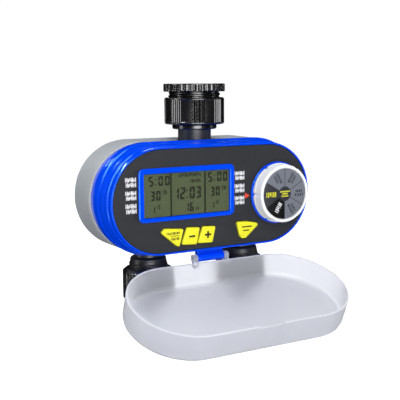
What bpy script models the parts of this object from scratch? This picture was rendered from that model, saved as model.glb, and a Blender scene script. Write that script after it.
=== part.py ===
"""Dual-outlet garden irrigation controller: a tap timer with a swivel inlet on top, a stadium-shaped
two-part housing, a hinged clear cover, and two motor-driven ball valves that feed two outlets below.

Frame: +Z up, the face looks along -Y, +X to the right seen from the front. The origin is the centre of
the threaded inlet's mouth. The dimensions below are in millimetres in a working frame whose origin is
the middle of the faceplate's front surface; ROOT moves everything to the inlet's mouth.
"""

import math

import bmesh
import bpy
from mathutils import Matrix, Vector

MM = 0.001

# ---- driving dimensions (mm) ----
HALF = 38.34          # half of the straight length between the two end centres
FACE_R = 31.18        # faceplate end radius
NOSE_R = 32.75        # blue nose that the cover closes over
RIDGE_R = 34.98       # widest bead of the front housing
BAND_R = 34.2         # plain band behind the bead
GREY_R = 34.9         # rear housing
FRONT_END = 27.7      # back edge of the front housing
REAR_START = 29.3     # front edge of the rear housing
BACK_Y = 53.5         # outside of the back wall
AXIS_Y = 26.8         # depth of the inlet's and outlets' axes
INLET_TOP = 70.0      # height of the inlet's mouth above the face's middle
OUT_X = 34.4          # outlets' distance from the middle
DIAL_X = 45.51        # dial centre
HINGE_Y = 5.4
HINGE_Z = -38.16
HINGE_X = -1.5        # middle of the hinge barrel
BARREL_R = 2.5
COVER_OPEN = 111.4    # degrees from closed
COVER_R = 34.9
COVER_INNER_R = 33.5
COVER_RIM_Y = 4.3
COVER_BASE_Y = -14.1
GAP = 0.3
BUTTON_TRAVEL = 0.8
GEAR_TEETH, PINION_TEETH, MODULE = 32, 10, 0.75
GEAR_PITCH_R = GEAR_TEETH * MODULE / 2
PINION_PITCH_R = PINION_TEETH * MODULE / 2
MOTOR_X = OUT_X - GEAR_PITCH_R - PINION_PITCH_R
SCREW_X, SCREW_Z = 56.1, 21.1

for old in list(bpy.data.objects):
    bpy.data.objects.remove(old, do_unlink=True)

scene = bpy.context.scene
scene.unit_settings.system = "METRIC"
scene.unit_settings.scale_length = 1.0
parts = bpy.data.collections.new("irrigation_controller")
cutters = bpy.data.collections.new("cutters")
scene.collection.children.link(parts)
scene.collection.children.link(cutters)
cutters.hide_render = True

ROOT = bpy.data.objects.new("inlet_origin", None)
ROOT.location = (0, -AXIS_Y * MM, -INLET_TOP * MM)
parts.objects.link(ROOT)

materials = {}


def material(name, colour, roughness, metallic=0.0, alpha=1.0):
    made = bpy.data.materials.new(name)
    made.use_nodes = True
    shader = made.node_tree.nodes["Principled BSDF"]
    shader.inputs["Base Color"].default_value = (*colour, 1)
    shader.inputs["Roughness"].default_value = roughness
    shader.inputs["Metallic"].default_value = metallic
    shader.inputs["Alpha"].default_value = alpha
    made.diffuse_color = (*colour, alpha)
    materials[name] = made


material("blue_shell", (0.003, 0.06, 0.87), 0.35)
material("grey_shell", (0.29, 0.31, 0.33), 0.5)
material("face_plastic", (0.045, 0.046, 0.052), 0.6)
material("black_plastic", (0.02, 0.02, 0.022), 0.4)
material("valve_plastic", (0.03, 0.03, 0.033), 0.4)
material("yellow_rubber", (0.95, 0.87, 0.02), 0.5)
material("mat_rubber", (0.3, 0.3, 0.3), 0.8)
material("seal_rubber", (0.5, 0.5, 0.5), 0.7)
material("black_rubber", (0.02, 0.02, 0.02), 0.7)
material("knob_plastic", (0.83, 0.84, 0.86), 0.4)
material("label_print", (0.2, 0.2, 0.22), 0.5)
material("lens_clear", (0.9, 0.95, 0.9), 0.1, alpha=0.35)
material("lcd_glass", (0.11, 0.13, 0.07), 0.3)
material("cover_clear", (0.75, 0.78, 0.82), 0.25, alpha=0.4)
material("steel", (0.6, 0.6, 0.6), 0.3, 1.0)
material("spring_steel", (0.6, 0.6, 0.6), 0.3, 1.0)
material("board_green", (0.02, 0.2, 0.06), 0.5)
material("switch_plastic", (0.05, 0.05, 0.06), 0.5)
material("gear_plastic", (0.8, 0.78, 0.7), 0.5)
material("motor_can", (0.55, 0.55, 0.55), 0.35, 1.0)
material("battery_skin", (0.1, 0.1, 0.1), 0.4)
material("tray_plastic", (0.1, 0.1, 0.11), 0.5)
material("filter_mesh", (0.6, 0.6, 0.6), 0.4)


# ---- helpers: everything below takes millimetres in the working frame ----
def place(name, mesh, mat, origin=(0, 0, 0), parent=None, cutter=False, rot=(0, 0, 0)):
    obj = bpy.data.objects.new(name, mesh)
    (cutters if cutter else parts).objects.link(obj)
    obj.parent = parent or ROOT
    obj.location = Vector(origin) * MM
    obj.rotation_euler = rot
    if cutter:
        obj.hide_render = True
        obj.display_type = "WIRE"
    else:
        mesh.materials.append(materials[mat])
    return obj


def shade(obj, angle=35):
    obj.data.shade_smooth()
    obj.data.set_sharp_from_angle(angle=math.radians(angle))
    return obj


def finish_mesh(bm, name, origin=(0, 0, 0)):
    bmesh.ops.translate(bm, verts=bm.verts, vec=-Vector(origin))
    bmesh.ops.scale(bm, verts=bm.verts, vec=(MM, MM, MM))
    bmesh.ops.recalc_face_normals(bm, faces=bm.faces)
    mesh = bpy.data.meshes.new(name)
    bm.to_mesh(mesh)
    bm.free()
    return mesh


def block(name, low, high, mat=None, origin=(0, 0, 0), parent=None, cutter=False, bevel=0.0, segments=2):
    """A box between two corners, with optional rounded edges."""
    low, high = Vector(low), Vector(high)
    bm = bmesh.new()
    bmesh.ops.create_cube(bm, size=1)
    bmesh.ops.scale(bm, verts=bm.verts, vec=high - low)
    bmesh.ops.translate(bm, verts=bm.verts, vec=(low + high) / 2)
    obj = place(name, finish_mesh(bm, name, origin), mat, origin, parent, cutter)
    if bevel:
        rounding = obj.modifiers.new("round", "BEVEL")
        rounding.width = bevel * MM
        rounding.segments = segments
    return obj


AXES = {"X": Matrix.Rotation(math.pi / 2, 4, "Y"), "Y": Matrix.Rotation(-math.pi / 2, 4, "X"), "Z": Matrix.Identity(4)}


def rod(name, start, axis, length, radius, mat=None, origin=(0, 0, 0), parent=None, cutter=False, sides=16):
    """A cylinder from start along +axis."""
    bm = bmesh.new()
    bmesh.ops.create_cone(bm, cap_ends=True, segments=sides, radius1=radius, radius2=radius, depth=length)
    bmesh.ops.translate(bm, verts=bm.verts, vec=(0, 0, length / 2))
    bmesh.ops.transform(bm, matrix=AXES[axis], verts=bm.verts)
    bmesh.ops.translate(bm, verts=bm.verts, vec=start)
    return place(name, finish_mesh(bm, name, origin), mat, origin, parent, cutter)


def turned(name, profile, mat=None, origin=(0, 0, 0), axis="Z", parent=None, sides=20, cutter=False, ring=False):
    """Turns a profile of (radius, height) points. Heights run along +Z, or along -Y for axis Y.

    A ring profile is closed away from the axis; any other starts and ends on the axis."""
    area = sum(a[0] * b[1] - b[0] * a[1] for a, b in zip(profile, profile[1:] + profile[:1]))
    if area > 0:
        profile = profile[::-1]
    bm = bmesh.new()
    verts = [bm.verts.new((r * MM, 0, h * MM)) for r, h in profile]
    for a, b in zip(verts, verts[1:] + (verts[:1] if ring else [])):
        bm.edges.new((a, b))
    mesh = bpy.data.meshes.new(name)
    bm.to_mesh(mesh)
    bm.free()
    rot = (math.pi / 2, 0, 0) if axis == "Y" else (0, 0, 0)
    obj = place(name, mesh, mat, origin, parent, cutter, rot)
    screw = obj.modifiers.new("turn", "SCREW")
    screw.axis = "Z"
    screw.angle = math.tau
    screw.steps = screw.render_steps = sides
    screw.use_merge_vertices = True
    screw.merge_threshold = 0.00002
    screw.use_smooth_shade = True
    return obj


def outline_solid(name, loops, y0, y1, mat=None, centre=(0, 0), parent=None, cutter=False, at_y=None):
    """A flat outline in the face's plane, with holes, given thickness from y0 to y1 (front to back)."""
    curve = bpy.data.curves.new(name, "CURVE")
    curve.dimensions = "2D"
    curve.fill_mode = "BOTH"
    curve.extrude = (y1 - y0) / 2 * MM
    for loop in loops:
        spline = curve.splines.new("POLY")
        spline.points.add(len(loop) - 1)
        spline.use_cyclic_u = True
        for point, (x, z) in zip(spline.points, loop):
            point.co = ((x - centre[0]) * MM, (z - centre[1]) * MM, 0, 1)
    guide = bpy.data.objects.new(name + "_outline", curve)
    scene.collection.objects.link(guide)
    graph = bpy.context.evaluated_depsgraph_get()
    mesh = bpy.data.meshes.new_from_object(guide.evaluated_get(graph))
    bpy.data.objects.remove(guide, do_unlink=True)
    mesh.name = name
    middle = (y0 + y1) / 2
    base_y = middle if at_y is None else at_y
    bm = bmesh.new()
    bm.from_mesh(mesh)
    bmesh.ops.remove_doubles(bm, verts=bm.verts, dist=0.000001)
    bmesh.ops.recalc_face_normals(bm, faces=bm.faces)
    bmesh.ops.translate(bm, verts=bm.verts, vec=(0, 0, (base_y - middle) * MM))
    bm.to_mesh(mesh)
    bm.free()
    mesh.materials.clear()
    return place(name, mesh, mat, (centre[0], base_y, centre[1]), parent, cutter, (math.pi / 2, 0, 0))


def stadium(radius, steps=12, half=HALF):
    """Points of a stadium outline of this end radius, anticlockwise seen from the front."""
    out = []
    for side in (1, -1):
        start = -math.pi / 2 if side > 0 else math.pi / 2
        for i in range(steps + 1):
            turn = start + math.pi * i / steps
            out.append((side * half + radius * math.cos(turn), radius * math.sin(turn)))
    return out


def stadium_loft(name, sections, mat=None, ring=False, origin=(0, 0, 0), parent=None, cutter=False, steps=12, half=HALF):
    """Extrudes a stadium edge loop through sections of (end radius, y)."""
    bm = bmesh.new()
    layer = bm.verts.layers.int.new("place")
    radius, y = sections[0]
    loop = []
    for k, (x, z) in enumerate(stadium(radius, steps, half)):
        vert = bm.verts.new((x, y, z))
        vert[layer] = k
        loop.append(vert)
    edges = [bm.edges.new((a, b)) for a, b in zip(loop, loop[1:] + loop[:1])]
    if not ring:
        bmesh.ops.contextual_create(bm, geom=edges)
    for radius, y in sections[1:] + (sections[:1] if ring else []):
        made = bmesh.ops.extrude_edge_only(bm, edges=edges)["geom"]
        edges = [g for g in made if isinstance(g, bmesh.types.BMEdge)]
        points = stadium(radius, steps, half)
        for vert in (g for g in made if isinstance(g, bmesh.types.BMVert)):
            x, z = points[vert[layer]]
            vert.co = (x, y, z)
    if ring:
        bmesh.ops.remove_doubles(bm, verts=bm.verts, dist=0.0001)
    else:
        bmesh.ops.contextual_create(bm, geom=edges)
    return place(name, finish_mesh(bm, name, origin), mat, origin, parent, cutter)


def boolean(obj, other, operation="DIFFERENCE"):
    change = obj.modifiers.new(other.name, "BOOLEAN")
    change.operation = operation
    change.object = other
    change.solver = "EXACT"
    return obj


def helper(obj):
    """Marks a piece that only joins or cuts another."""
    parts_link = [c for c in obj.users_collection]
    for c in parts_link:
        c.objects.unlink(obj)
    cutters.objects.link(obj)
    obj.hide_render = True
    obj.display_type = "WIRE"
    return obj


def offset_outline(points, by):
    """Moves each side of a convex outline outwards."""
    area = sum(a[0] * b[1] - b[0] * a[1] for a, b in zip(points, points[1:] + points[:1]))
    if area < 0:
        points = points[::-1]
    lines = []
    for a, b in zip(points, points[1:] + points[:1]):
        dx, dz = b[0] - a[0], b[1] - a[1]
        size = math.hypot(dx, dz)
        lines.append(((a[0] + dz / size * by, a[1] - dx / size * by), (dx, dz)))
    out = []
    for (p, d), (q, e) in zip(lines[-1:] + lines[:-1], lines):
        cross = d[0] * e[1] - d[1] * e[0]
        t = ((q[0] - p[0]) * e[1] - (q[1] - p[1]) * e[0]) / cross
        out.append((p[0] + d[0] * t, p[1] + d[1] * t))
    return out


def rounded(points, radius, steps=2):
    """Replaces each corner of an outline with an arc tangent to its two sides."""
    out = []
    count = len(points)
    for i in range(count):
        p, a, b = Vector(points[i]), Vector(points[i - 1]), Vector(points[(i + 1) % count])
        u, v = (a - p).normalized(), (b - p).normalized()
        half = math.acos(max(-1, min(1, u.dot(v)))) / 2
        reach = min(radius / math.tan(half), 0.42 * (a - p).length, 0.42 * (b - p).length)
        size = reach * math.tan(half)
        centre = p + (u + v).normalized() * (size / math.sin(half))
        first, last = p + u * reach - centre, p + v * reach - centre
        sweep = first.angle_signed(last)
        for k in range(steps + 1):
            turn = -sweep * k / steps
            c, s = math.cos(turn), math.sin(turn)
            out.append((centre.x + first.x * c - first.y * s, centre.y + first.x * s + first.y * c))
    return out


def rectangle(x0, x1, z0, z1):
    return [(x0, z0), (x1, z0), (x1, z1), (x0, z1)]


def circle(x, z, radius, steps=24):
    return [(x + radius * math.cos(math.tau * i / steps), z + radius * math.sin(math.tau * i / steps)) for i in range(steps)]


def gear_outline(x, z, teeth, phase):
    """Outline of a spur gear whose tooth flanks are straight; phase is the angle of one tooth's middle."""
    out = []
    pitch = teeth * MODULE / 2
    for k in range(teeth):
        middle = phase + math.tau * k / teeth
        for radius, width in ((pitch - 0.95 * MODULE, 1.42), (pitch + 0.72 * MODULE, 0.5)):
            for side in ((-1,) if width > 1 else (-1, 1)):
                turn = middle + side * width / 2 / radius
                out.append((x + radius * math.cos(turn), z + radius * math.sin(turn)))
        turn = middle + 1.42 / 2 / (pitch - 0.95 * MODULE)
        out.append((x + (pitch - 0.95 * MODULE) * math.cos(turn), z + (pitch - 0.95 * MODULE) * math.sin(turn)))
    return out


# ---- holes that both housing halves and the seals share ----
inlet_hole = rod("inlet_hole", (0, AXIS_Y, 20), "Z", 30, 10.9, cutter=True, sides=20)
outlet_holes = [rod(f"outlet_hole_{s}", (s * OUT_X, AXIS_Y, -50), "Z", 28, 9.35, cutter=True, sides=20) for s in (-1, 1)]
corners = [(sx * SCREW_X, sz * SCREW_Z) for sx in (-1, 1) for sz in (-1, 1)]

# ---- front housing ----
front_housing = stadium_loft(
    "front_housing",
    [(31.5, -0.5), (32.3, -0.5), (NOSE_R, 0.1), (NOSE_R, 4.7), (33.2, 4.75), (33.8, 9.5), (34.3, 13.2), (33.9, 13.5),
     (33.9, 14.1), (RIDGE_R, 14.6), (RIDGE_R, 17.4), (34.3, 18.0), (34.3, 18.7), (34.75, 19.0), (34.75, 21.6),
     (BAND_R, 22.2), (BAND_R, FRONT_END), (31.3, FRONT_END),
     (31.3, 6.0), (29.0, 6.0), (29.0, 2.6), (31.5, 2.6)],
    "blue_shell", ring=True)
for k, (x, z) in enumerate(corners):
    boss = helper(rod(f"front_boss_{k}", (x, 5.0, z), "Y", FRONT_END - 5.0, 3.6, "blue_shell", sides=10))
    boolean(front_housing, boss, "UNION")
hinge_web = helper(block("hinge_web", (HINGE_X - 9.4, 4.9, -37.4), (HINGE_X + 9.4, 8.2, -32.6), "blue_shell"))
hinge_barrel = helper(rod("hinge_barrel", (HINGE_X - 9.4, HINGE_Y, HINGE_Z), "X", 18.8, BARREL_R, "blue_shell", sides=20))
boolean(front_housing, hinge_web, "UNION")
boolean(front_housing, hinge_barrel, "UNION")
pin_hole = rod("pin_hole", (-20, HINGE_Y, HINGE_Z), "X", 40, 1.3, cutter=True, sides=12)
boolean(front_housing, pin_hole)
boolean(front_housing, inlet_hole)
for hole in outlet_holes:
    boolean(front_housing, hole)
for k, (x, z) in enumerate(corners):
    boolean(front_housing, rod(f"front_screw_hole_{k}", (x, 12.0, z), "Y", 20, 1.6, cutter=True, sides=8))
shade(front_housing)

# ---- rear housing ----
rear_housing = stadium_loft(
    "rear_housing",
    [(29.8, BACK_Y - 2.8), (31.4, BACK_Y - 4.3), (31.4, REAR_START), (34.6, REAR_START), (34.75, 33.0), (GREY_R, BACK_Y - 3.5),
     (34.3, BACK_Y - 1.3), (32.8, BACK_Y)],
    "grey_shell")
for k, (x, z) in enumerate(corners):
    boss = helper(rod(f"rear_boss_{k}", (x, REAR_START, z), "Y", BACK_Y - 0.7 - REAR_START, 4.3, "grey_shell", sides=10))
    boolean(rear_housing, boss, "UNION")
boolean(rear_housing, inlet_hole)
for hole in outlet_holes:
    boolean(rear_housing, hole)
for k, (x, z) in enumerate(corners):
    boolean(rear_housing, rod(f"rear_screw_hole_{k}", (x, 20, z), "Y", 20, 1.6, cutter=True, sides=8))
    boolean(rear_housing, rod(f"rear_screw_recess_{k}", (x, 34.0, z), "Y", 20, 3.3, cutter=True, sides=10))
door_recess = outline_solid("door_recess", [rounded(rectangle(-19.0, 19.0, -30.2, 30.2), 4.0)], BACK_Y - 1.5, 58, cutter=True)
door_opening = outline_solid("door_opening", [rounded(rectangle(-17.0, 17.0, -28.2, 28.2), 3.0)], 46, BACK_Y, cutter=True)
boolean(rear_housing, door_recess)
boolean(rear_housing, door_opening)
shade(rear_housing)


# ---- seals between the halves, interrupted at the three pipe necks ----
def seal(name, keep_low, keep_high, cut=None):
    ring = stadium_loft(name, [(31.7, FRONT_END + GAP), (34.2, FRONT_END + GAP), (34.2, REAR_START - GAP), (31.7, REAR_START - GAP)], "seal_rubber", ring=True)
    boolean(ring, block(name + "_keep", keep_low, keep_high, cutter=True), "INTERSECT")
    if cut:
        boolean(ring, block(name + "_cut", *cut, cutter=True))
    return ring


seal("left_seal", (-80, 20, -40), (-11.4, 35, 40), ((-44.1, 19, -41), (-10, 36, -20)))
seal("right_seal", (11.4, 20, -40), (80, 35, 40), ((10, 19, -41), (44.1, 36, -20)))
seal("bottom_seal", (-24.7, 20, -40), (24.7, 35, -20))

# ---- faceplate, display and keypad ----
CLEAR_KEY = [(-39.3, -18.7), (-36.6, -16.4), (-23.5, -17.6), (-26.3, -27.9), (-27.3, -28.1), (-28.8, -27.4)]
MINUS_KEY = [(-21.3, -17.0), (-12.1, -17.6), (-14.4, -28.1), (-25.0, -27.3)]
PLUS_KEY = [(-10.1, -17.3), (-0.8, -17.9), (-3.2, -27.9), (-13.7, -27.5)]
MANUAL_KEY = [(14.4, -16.7), (22.3, -17.0), (30.3, -18.6), (30.6, -20.2), (21.4, -27.6), (18.7, -27.6), (16.7, -25.6)]
KEYS = {"clear_button": CLEAR_KEY, "minus_button": MINUS_KEY, "plus_button": PLUS_KEY, "manual_button": MANUAL_KEY}
BEZEL = (-53.5, 12.75, -11.73, 20.40)
WINDOW = (-49.9, 9.56, -9.3, 17.15)

outline_solid(
    "faceplate",
    [stadium(FACE_R), rounded(rectangle(BEZEL[0] + 0.6, BEZEL[1] - 0.6, BEZEL[2] + 0.6, BEZEL[3] - 0.6), 2.4),
     circle(DIAL_X, 0, 18.0)] + [rounded(offset_outline(key, GAP), 1.3) for key in KEYS.values()],
    0.0, 2.2, "face_plastic")

bezel = outline_solid(
    "lcd_bezel",
    [rounded(rectangle(*BEZEL), 3.0), rounded(rectangle(*WINDOW), 1.2)], -1.2, -0.3, "blue_shell")
bezel_sleeve = helper(outline_solid(
    "bezel_sleeve",
    [rounded(rectangle(BEZEL[0] + 0.9, BEZEL[1] - 0.9, BEZEL[2] + 0.9, BEZEL[3] - 0.9), 2.1),
     rounded(rectangle(WINDOW[0] - 0.4, WINDOW[1] + 0.4, WINDOW[2] - 0.4, WINDOW[3] + 0.4), 1.0)],
    0.9, 2.4, "blue_shell"))
bezel_neck = helper(outline_solid(
    "bezel_neck",
    [rounded(rectangle(BEZEL[0] + 0.9, BEZEL[1] - 0.9, BEZEL[2] + 0.9, BEZEL[3] - 0.9), 2.1),
     rounded(rectangle(WINDOW[0], WINDOW[1], WINDOW[2], WINDOW[3]), 1.2)],
    -0.6, 1.0, "blue_shell"))
boolean(bezel, bezel_neck, "UNION")
boolean(bezel, bezel_sleeve, "UNION")
outline_solid(
    "lcd_window",
    [rounded(rectangle(WINDOW[0] + GAP, WINDOW[1] - GAP, WINDOW[2] + GAP, WINDOW[3] - GAP), 1.0)], -0.8, -0.2, "lens_clear")
module = block("lcd_module", (-51.5, 2.8, -11.0), (11.4, 5.2, 19.4), "lcd_glass")
module_glass = helper(outline_solid(
    "module_glass",
    [rounded(rectangle(WINDOW[0] + GAP, WINDOW[1] - GAP, WINDOW[2] + GAP, WINDOW[3] - GAP), 1.0)], 0.2, 3.6, "lcd_glass"))
boolean(module, module_glass, "UNION")

for name, key in KEYS.items():
    middle = (sum(p[0] for p in key) / len(key), sum(p[1] for p in key) / len(key))
    shade(outline_solid(name, [rounded(key, 1.0)], -0.9, 3.4, "yellow_rubber", centre=middle, at_y=0.0))
block("keypad_mat", (-41.5, 4.7, -28.5), (33.0, 5.9, -14.6), "mat_rubber", bevel=0.3, segments=1)

# ---- dial ----
turned("dial_seat_ring",
       [(15.6, -2.6), (17.6, -2.6), (17.6, 0.3), (20.03, 0.3), (19.7, 1.1), (17.2, 1.1), (16.8, 0.3), (15.6, 0.3)],
       "blue_shell", (DIAL_X, 0, 0), "Y", ring=True, sides=20)
turned("dial_knob",
       [(0, 8.6), (16.5, 8.6), (16.5, 9.5), (17.8, 9.5), (18.4, 9.0), (18.65, 3.6), (19.1, 3.0), (19.1, 1.5),
        (17.3, 1.5), (17.3, 7.1), (5.0, 7.1), (5.0, 1.7), (3.3, 1.7), (3.3, 6.3), (0, 6.3)],
       "knob_plastic", (DIAL_X, 0, 0), "Y", sides=20)
turned("dial_label", [(0, 8.9), (0, 9.3), (16.1, 9.3), (16.1, 8.9)][1:] + [(0, 8.9)], "label_print", (DIAL_X, 0, 0), "Y", sides=20)
turned("dial_shaft", [(0, 6.0), (3.0, 6.0), (3.0, -2.9), (7.0, -2.9), (7.0, -4.4), (0, -4.4)], "switch_plastic", (DIAL_X, 0, 0), "Y", sides=12)
block("rotary_switch", (DIAL_X - 9, 4.7, -9), (DIAL_X + 9, 7.2, 9), "switch_plastic", bevel=0.5, segments=1)

# ---- circuit board ----
outline_solid("circuit_board", [stadium(23.4, 10), rounded(rectangle(-8, 8, -4, 4), 1.5, 2)], 7.5, 9.1, "board_green")

# ---- cover: a clear tray, modelled closed and swung open about its hinge ----
swing = bpy.data.objects.new("cover_hinge", None)
parts.objects.link(swing)
swing.parent = ROOT
swing.location = Vector((0, HINGE_Y, HINGE_Z)) * MM
swing.rotation_euler = (math.radians(COVER_OPEN), 0, 0)
pivot = (0, HINGE_Y, HINGE_Z)


def on_swing(obj):
    """Hangs a piece that was modelled round the hinge on the hinge."""
    obj.parent = swing
    obj.location = (0, 0, 0)
    return obj


cover = on_swing(stadium_loft(
    "cover",
    [(30.0, COVER_BASE_Y + 1.3), (32.0, COVER_BASE_Y + 1.7), (33.1, COVER_BASE_Y + 3.0), (COVER_INNER_R, COVER_BASE_Y + 4.7),
     (COVER_INNER_R, COVER_RIM_Y), (COVER_R, COVER_RIM_Y), (COVER_R, COVER_BASE_Y + 4.1), (34.4, COVER_BASE_Y + 2.0),
     (33.0, COVER_BASE_Y + 0.5), (30.8, COVER_BASE_Y)],
    "cover_clear", origin=pivot))
for side in (-1, 1):
    low, high = sorted((HINGE_X + side * 9.75, HINGE_X + side * 12.75))
    web = helper(on_swing(block(f"ear_web_{side}", (low, 0.4, -37.6), (high, 4.2, -34.2), "cover_clear", origin=pivot)))
    eye = helper(on_swing(rod(f"ear_eye_{side}", (low, HINGE_Y, HINGE_Z), "X", 3.0, BARREL_R, "cover_clear", origin=pivot, sides=20)))
    boolean(cover, web, "UNION")
    boolean(cover, eye, "UNION")
boolean(cover, on_swing(rod("ear_hole", (-20, HINGE_Y, HINGE_Z), "X", 40, 1.3, cutter=True, origin=pivot, sides=16)))
boolean(cover, on_swing(block("thumb_notch", (-8.2, 2.2, 30), (8.2, 8, 40), cutter=True, origin=pivot)))
shade(cover)
rod("hinge_pin", (HINGE_X - 12.6, HINGE_Y, HINGE_Z), "X", 25.2, 1.0, "steel", sides=12)

# ---- valve manifold: inlet neck, cross tube and two outlet tubes ----
turned("neck_body", [(0, 30.3), (10.58, 30.3), (10.58, 47.8), (15.4, 47.8), (15.4, 49.6), (0, 49.6)], "valve_plastic", (0, AXIS_Y, 0))
manifold = bpy.data.objects["neck_body"]
manifold.name = "valve_manifold"
CROSS_Y, CROSS_Z = 24.0, 22.0
adds = [rod("stub_tube", (0, CROSS_Y, CROSS_Z), "Z", 9.5, 6.8, "valve_plastic"),
        rod("cross_tube", (-OUT_X, CROSS_Y, CROSS_Z), "X", 2 * OUT_X, 6.4, "valve_plastic")]
for side in (-1, 1):
    adds.append(turned(
        f"outlet_tube_{side}",
        [(0, 29.0), (8.5, 29.0), (8.5, -30.3), (9.0, -30.6), (9.0, -38.0), (11.5, -38.4), (11.5, -40.5), (12.3, -41.2),
         (12.3, -59.5), (0, -59.5)],
        "valve_plastic", (side * OUT_X, AXIS_Y, 0), sides=16))
for piece in adds:
    boolean(manifold, helper(piece), "UNION")
cuts = [rod("neck_bore", (0, AXIS_Y, 32.0), "Z", 30, 8.0, cutter=True),
        rod("stub_bore", (0, CROSS_Y, CROSS_Z), "Z", 12, 4.9, cutter=True, sides=12),
        rod("cross_bore", (-OUT_X, CROSS_Y, CROSS_Z), "X", 2 * OUT_X, 4.5, cutter=True, sides=12)]
for side in (-1, 1):
    cuts.append(rod(f"outlet_bore_{side}", (side * OUT_X, AXIS_Y, -65), "Z", 91.0, 6.6, cutter=True))
    cuts.append(rod(f"stem_bore_{side}", (side * OUT_X, 10, 0), "Y", AXIS_Y - 10, 2.35, cutter=True, sides=16))
for cut in cuts:
    boolean(manifold, cut)

# ---- inlet: collar, swivel nut, washer, filter and threaded adapter ----
turned("swivel_collar", [(10.9, 41.4), (13.8, 41.4), (14.2, 41.9), (14.2, 44.2), (10.9, 44.2)], "black_plastic", (0, AXIS_Y, 0), ring=True, sides=16)
turned("inlet_nut",
       [(10.95, 44.5), (18.3, 44.5), (19.1, 45.4), (19.1, 60.5), (18.2, 61.33), (16.95, 61.33), (16.95, 47.45), (10.95, 47.45)],
       "black_plastic", (0, AXIS_Y, 0), ring=True, sides=20)
turned("inlet_washer", [(8.4, 49.9), (15.1, 49.9), (15.1, 51.7), (8.4, 51.7)], "black_rubber", (0, AXIS_Y, 0), ring=True, sides=16)
turned("inlet_filter",
       [(0, 61.4), (0, 62.0), (4.6, 62.0), (10.2, 52.8), (15.1, 52.8), (15.1, 52.0), (9.4, 52.0), (4.1, 61.4)][1:] + [(0, 61.4)],
       "filter_mesh", (0, AXIS_Y, 0), sides=14)
turned("inlet_adapter",
       [(11.2, 53.1), (15.9, 53.1), (16.55, 53.8), (16.55, 65.0), (19.2, 65.0), (19.6, 65.4), (19.6, 69.5), (19.1, 70.0),
        (13.4, 70.0), (12.2, 68.8), (12.2, 55.5), (11.2, 55.5)],
       "black_plastic", (0, AXIS_Y, 0), ring=True, sides=20)

# ---- ball valves and their drives ----
for side, word in ((-1, "left"), (1, "right")):
    at = (side * OUT_X, AXIS_Y, 0)
    ball = [(0, 14.4), (2.0, 14.4), (2.0, 5.85)]
    ball += [(6.2 * math.cos(t), 6.2 * math.sin(t)) for t in (math.radians(a) for a in (60, 36, 12, -12, -36, -60))]
    valve = turned(f"{word}_valve_ball", ball + [(0, -6.2)], "gear_plastic", at, "Y", sides=14)
    boolean(valve, rod(f"{word}_ball_port", (side * OUT_X - 10, AXIS_Y, 0), "X", 20, 3.9, cutter=True, sides=12))
    facing = math.pi if side > 0 else 0.0
    outline_solid(f"{word}_drive_gear",
                  [gear_outline(side * OUT_X, 0, GEAR_TEETH, facing), circle(side * OUT_X, 0, 2.3, 12)],
                  13.2, 16.2, "gear_plastic", centre=(side * OUT_X, 0))
    outline_solid(f"{word}_pinion",
                  [gear_outline(side * MOTOR_X, 0, PINION_TEETH, facing + math.pi + math.pi / PINION_TEETH), circle(side * MOTOR_X, 0, 1.1, 10)],
                  13.0, 16.4, "gear_plastic", centre=(side * MOTOR_X, 0))
    turned(f"{word}_motor",
           [(0, 13.6), (0.8, 13.6), (0.8, 8.8), (5.4, 8.8), (5.9, 8.3), (5.9, -3.4), (0, -3.4)],
           "motor_can", (side * MOTOR_X, AXIS_Y, 0), "Y", sides=12)

# ---- outlets: threaded hose connectors with their washers and seals ----
for side, word in ((-1, "left"), (1, "right")):
    at = (side * OUT_X, AXIS_Y, 0)
    turned(f"{word}_outlet_connector",
           [(12.75, -44.9), (14.2, -44.9), (16.3, -46.6), (16.3, -63.6), (15.4, -64.8), (7.9, -64.8), (7.3, -65.4),
            (7.3, -71.8), (6.3, -71.8), (6.3, -74.6), (7.3, -74.6), (7.3, -78.2), (6.6, -79.0), (5.0, -79.0),
            (5.0, -61.7), (12.75, -61.7)],
           "black_plastic", at, ring=True, sides=20)
    turned(f"{word}_outlet_washer", [(7.2, -59.8), (12.3, -59.8), (12.3, -61.3), (7.2, -61.3)], "black_rubber", at, ring=True, sides=16)
    turned(f"{word}_spigot_seal",
           [(7.5 + 0.9 * math.cos(math.tau * i / 6), -73.2 + 0.9 * math.sin(math.tau * i / 6)) for i in range(6)],
           "black_rubber", at, ring=True, sides=16)

# ---- batteries and their compartment ----
BATTERY_Y = 43.1
tray = block("battery_tray", (-16.7, 34.1, -29.3), (16.7, 50.3, 29.3), "tray_plastic", bevel=0.6, segments=1)
boolean(tray, block("tray_inside", (-15.6, 35.3, -28.1), (15.6, 62, 28.1), cutter=True))
for k, x in enumerate((-7.85, 7.85)):
    turned(("battery_left", "battery_right")[k],
           [(0, 25.0), (2.7, 25.0), (2.7, 23.5), (6.7, 23.5), (7.2, 23.0), (7.2, -24.7), (6.7, -25.2), (0, -25.2)],
           "battery_skin", (x, BATTERY_Y, 0.6), sides=12)
    coil = bpy.data.curves.new("coil", "CURVE")
    coil.dimensions = "3D"
    coil.bevel_depth = 0.3 * MM
    coil.bevel_resolution = 0
    coil.use_fill_caps = True
    wire = coil.splines.new("POLY")
    turns, per_turn = 2.0, 8
    count = int(turns * per_turn) + 1
    wire.points.add(count - 1)
    for i in range(count):
        turn = math.tau * i / per_turn
        radius = 4.4 - 1.6 * i / count
        wire.points[i].co = (radius * math.cos(turn) * MM, radius * math.sin(turn) * MM, 2.1 * i / (count - 1) * MM, 1)
    spring = bpy.data.objects.new(("left_battery_spring", "right_battery_spring")[k], coil)
    coil.materials.append(materials["spring_steel"])
    parts.objects.link(spring)
    spring.parent = ROOT
    spring.location = Vector((x, BATTERY_Y, -27.3)) * MM
block("battery_contact", (-12.5, BATTERY_Y - 4, 26.2), (12.5, BATTERY_Y + 4, 26.8), "spring_steel")

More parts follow.
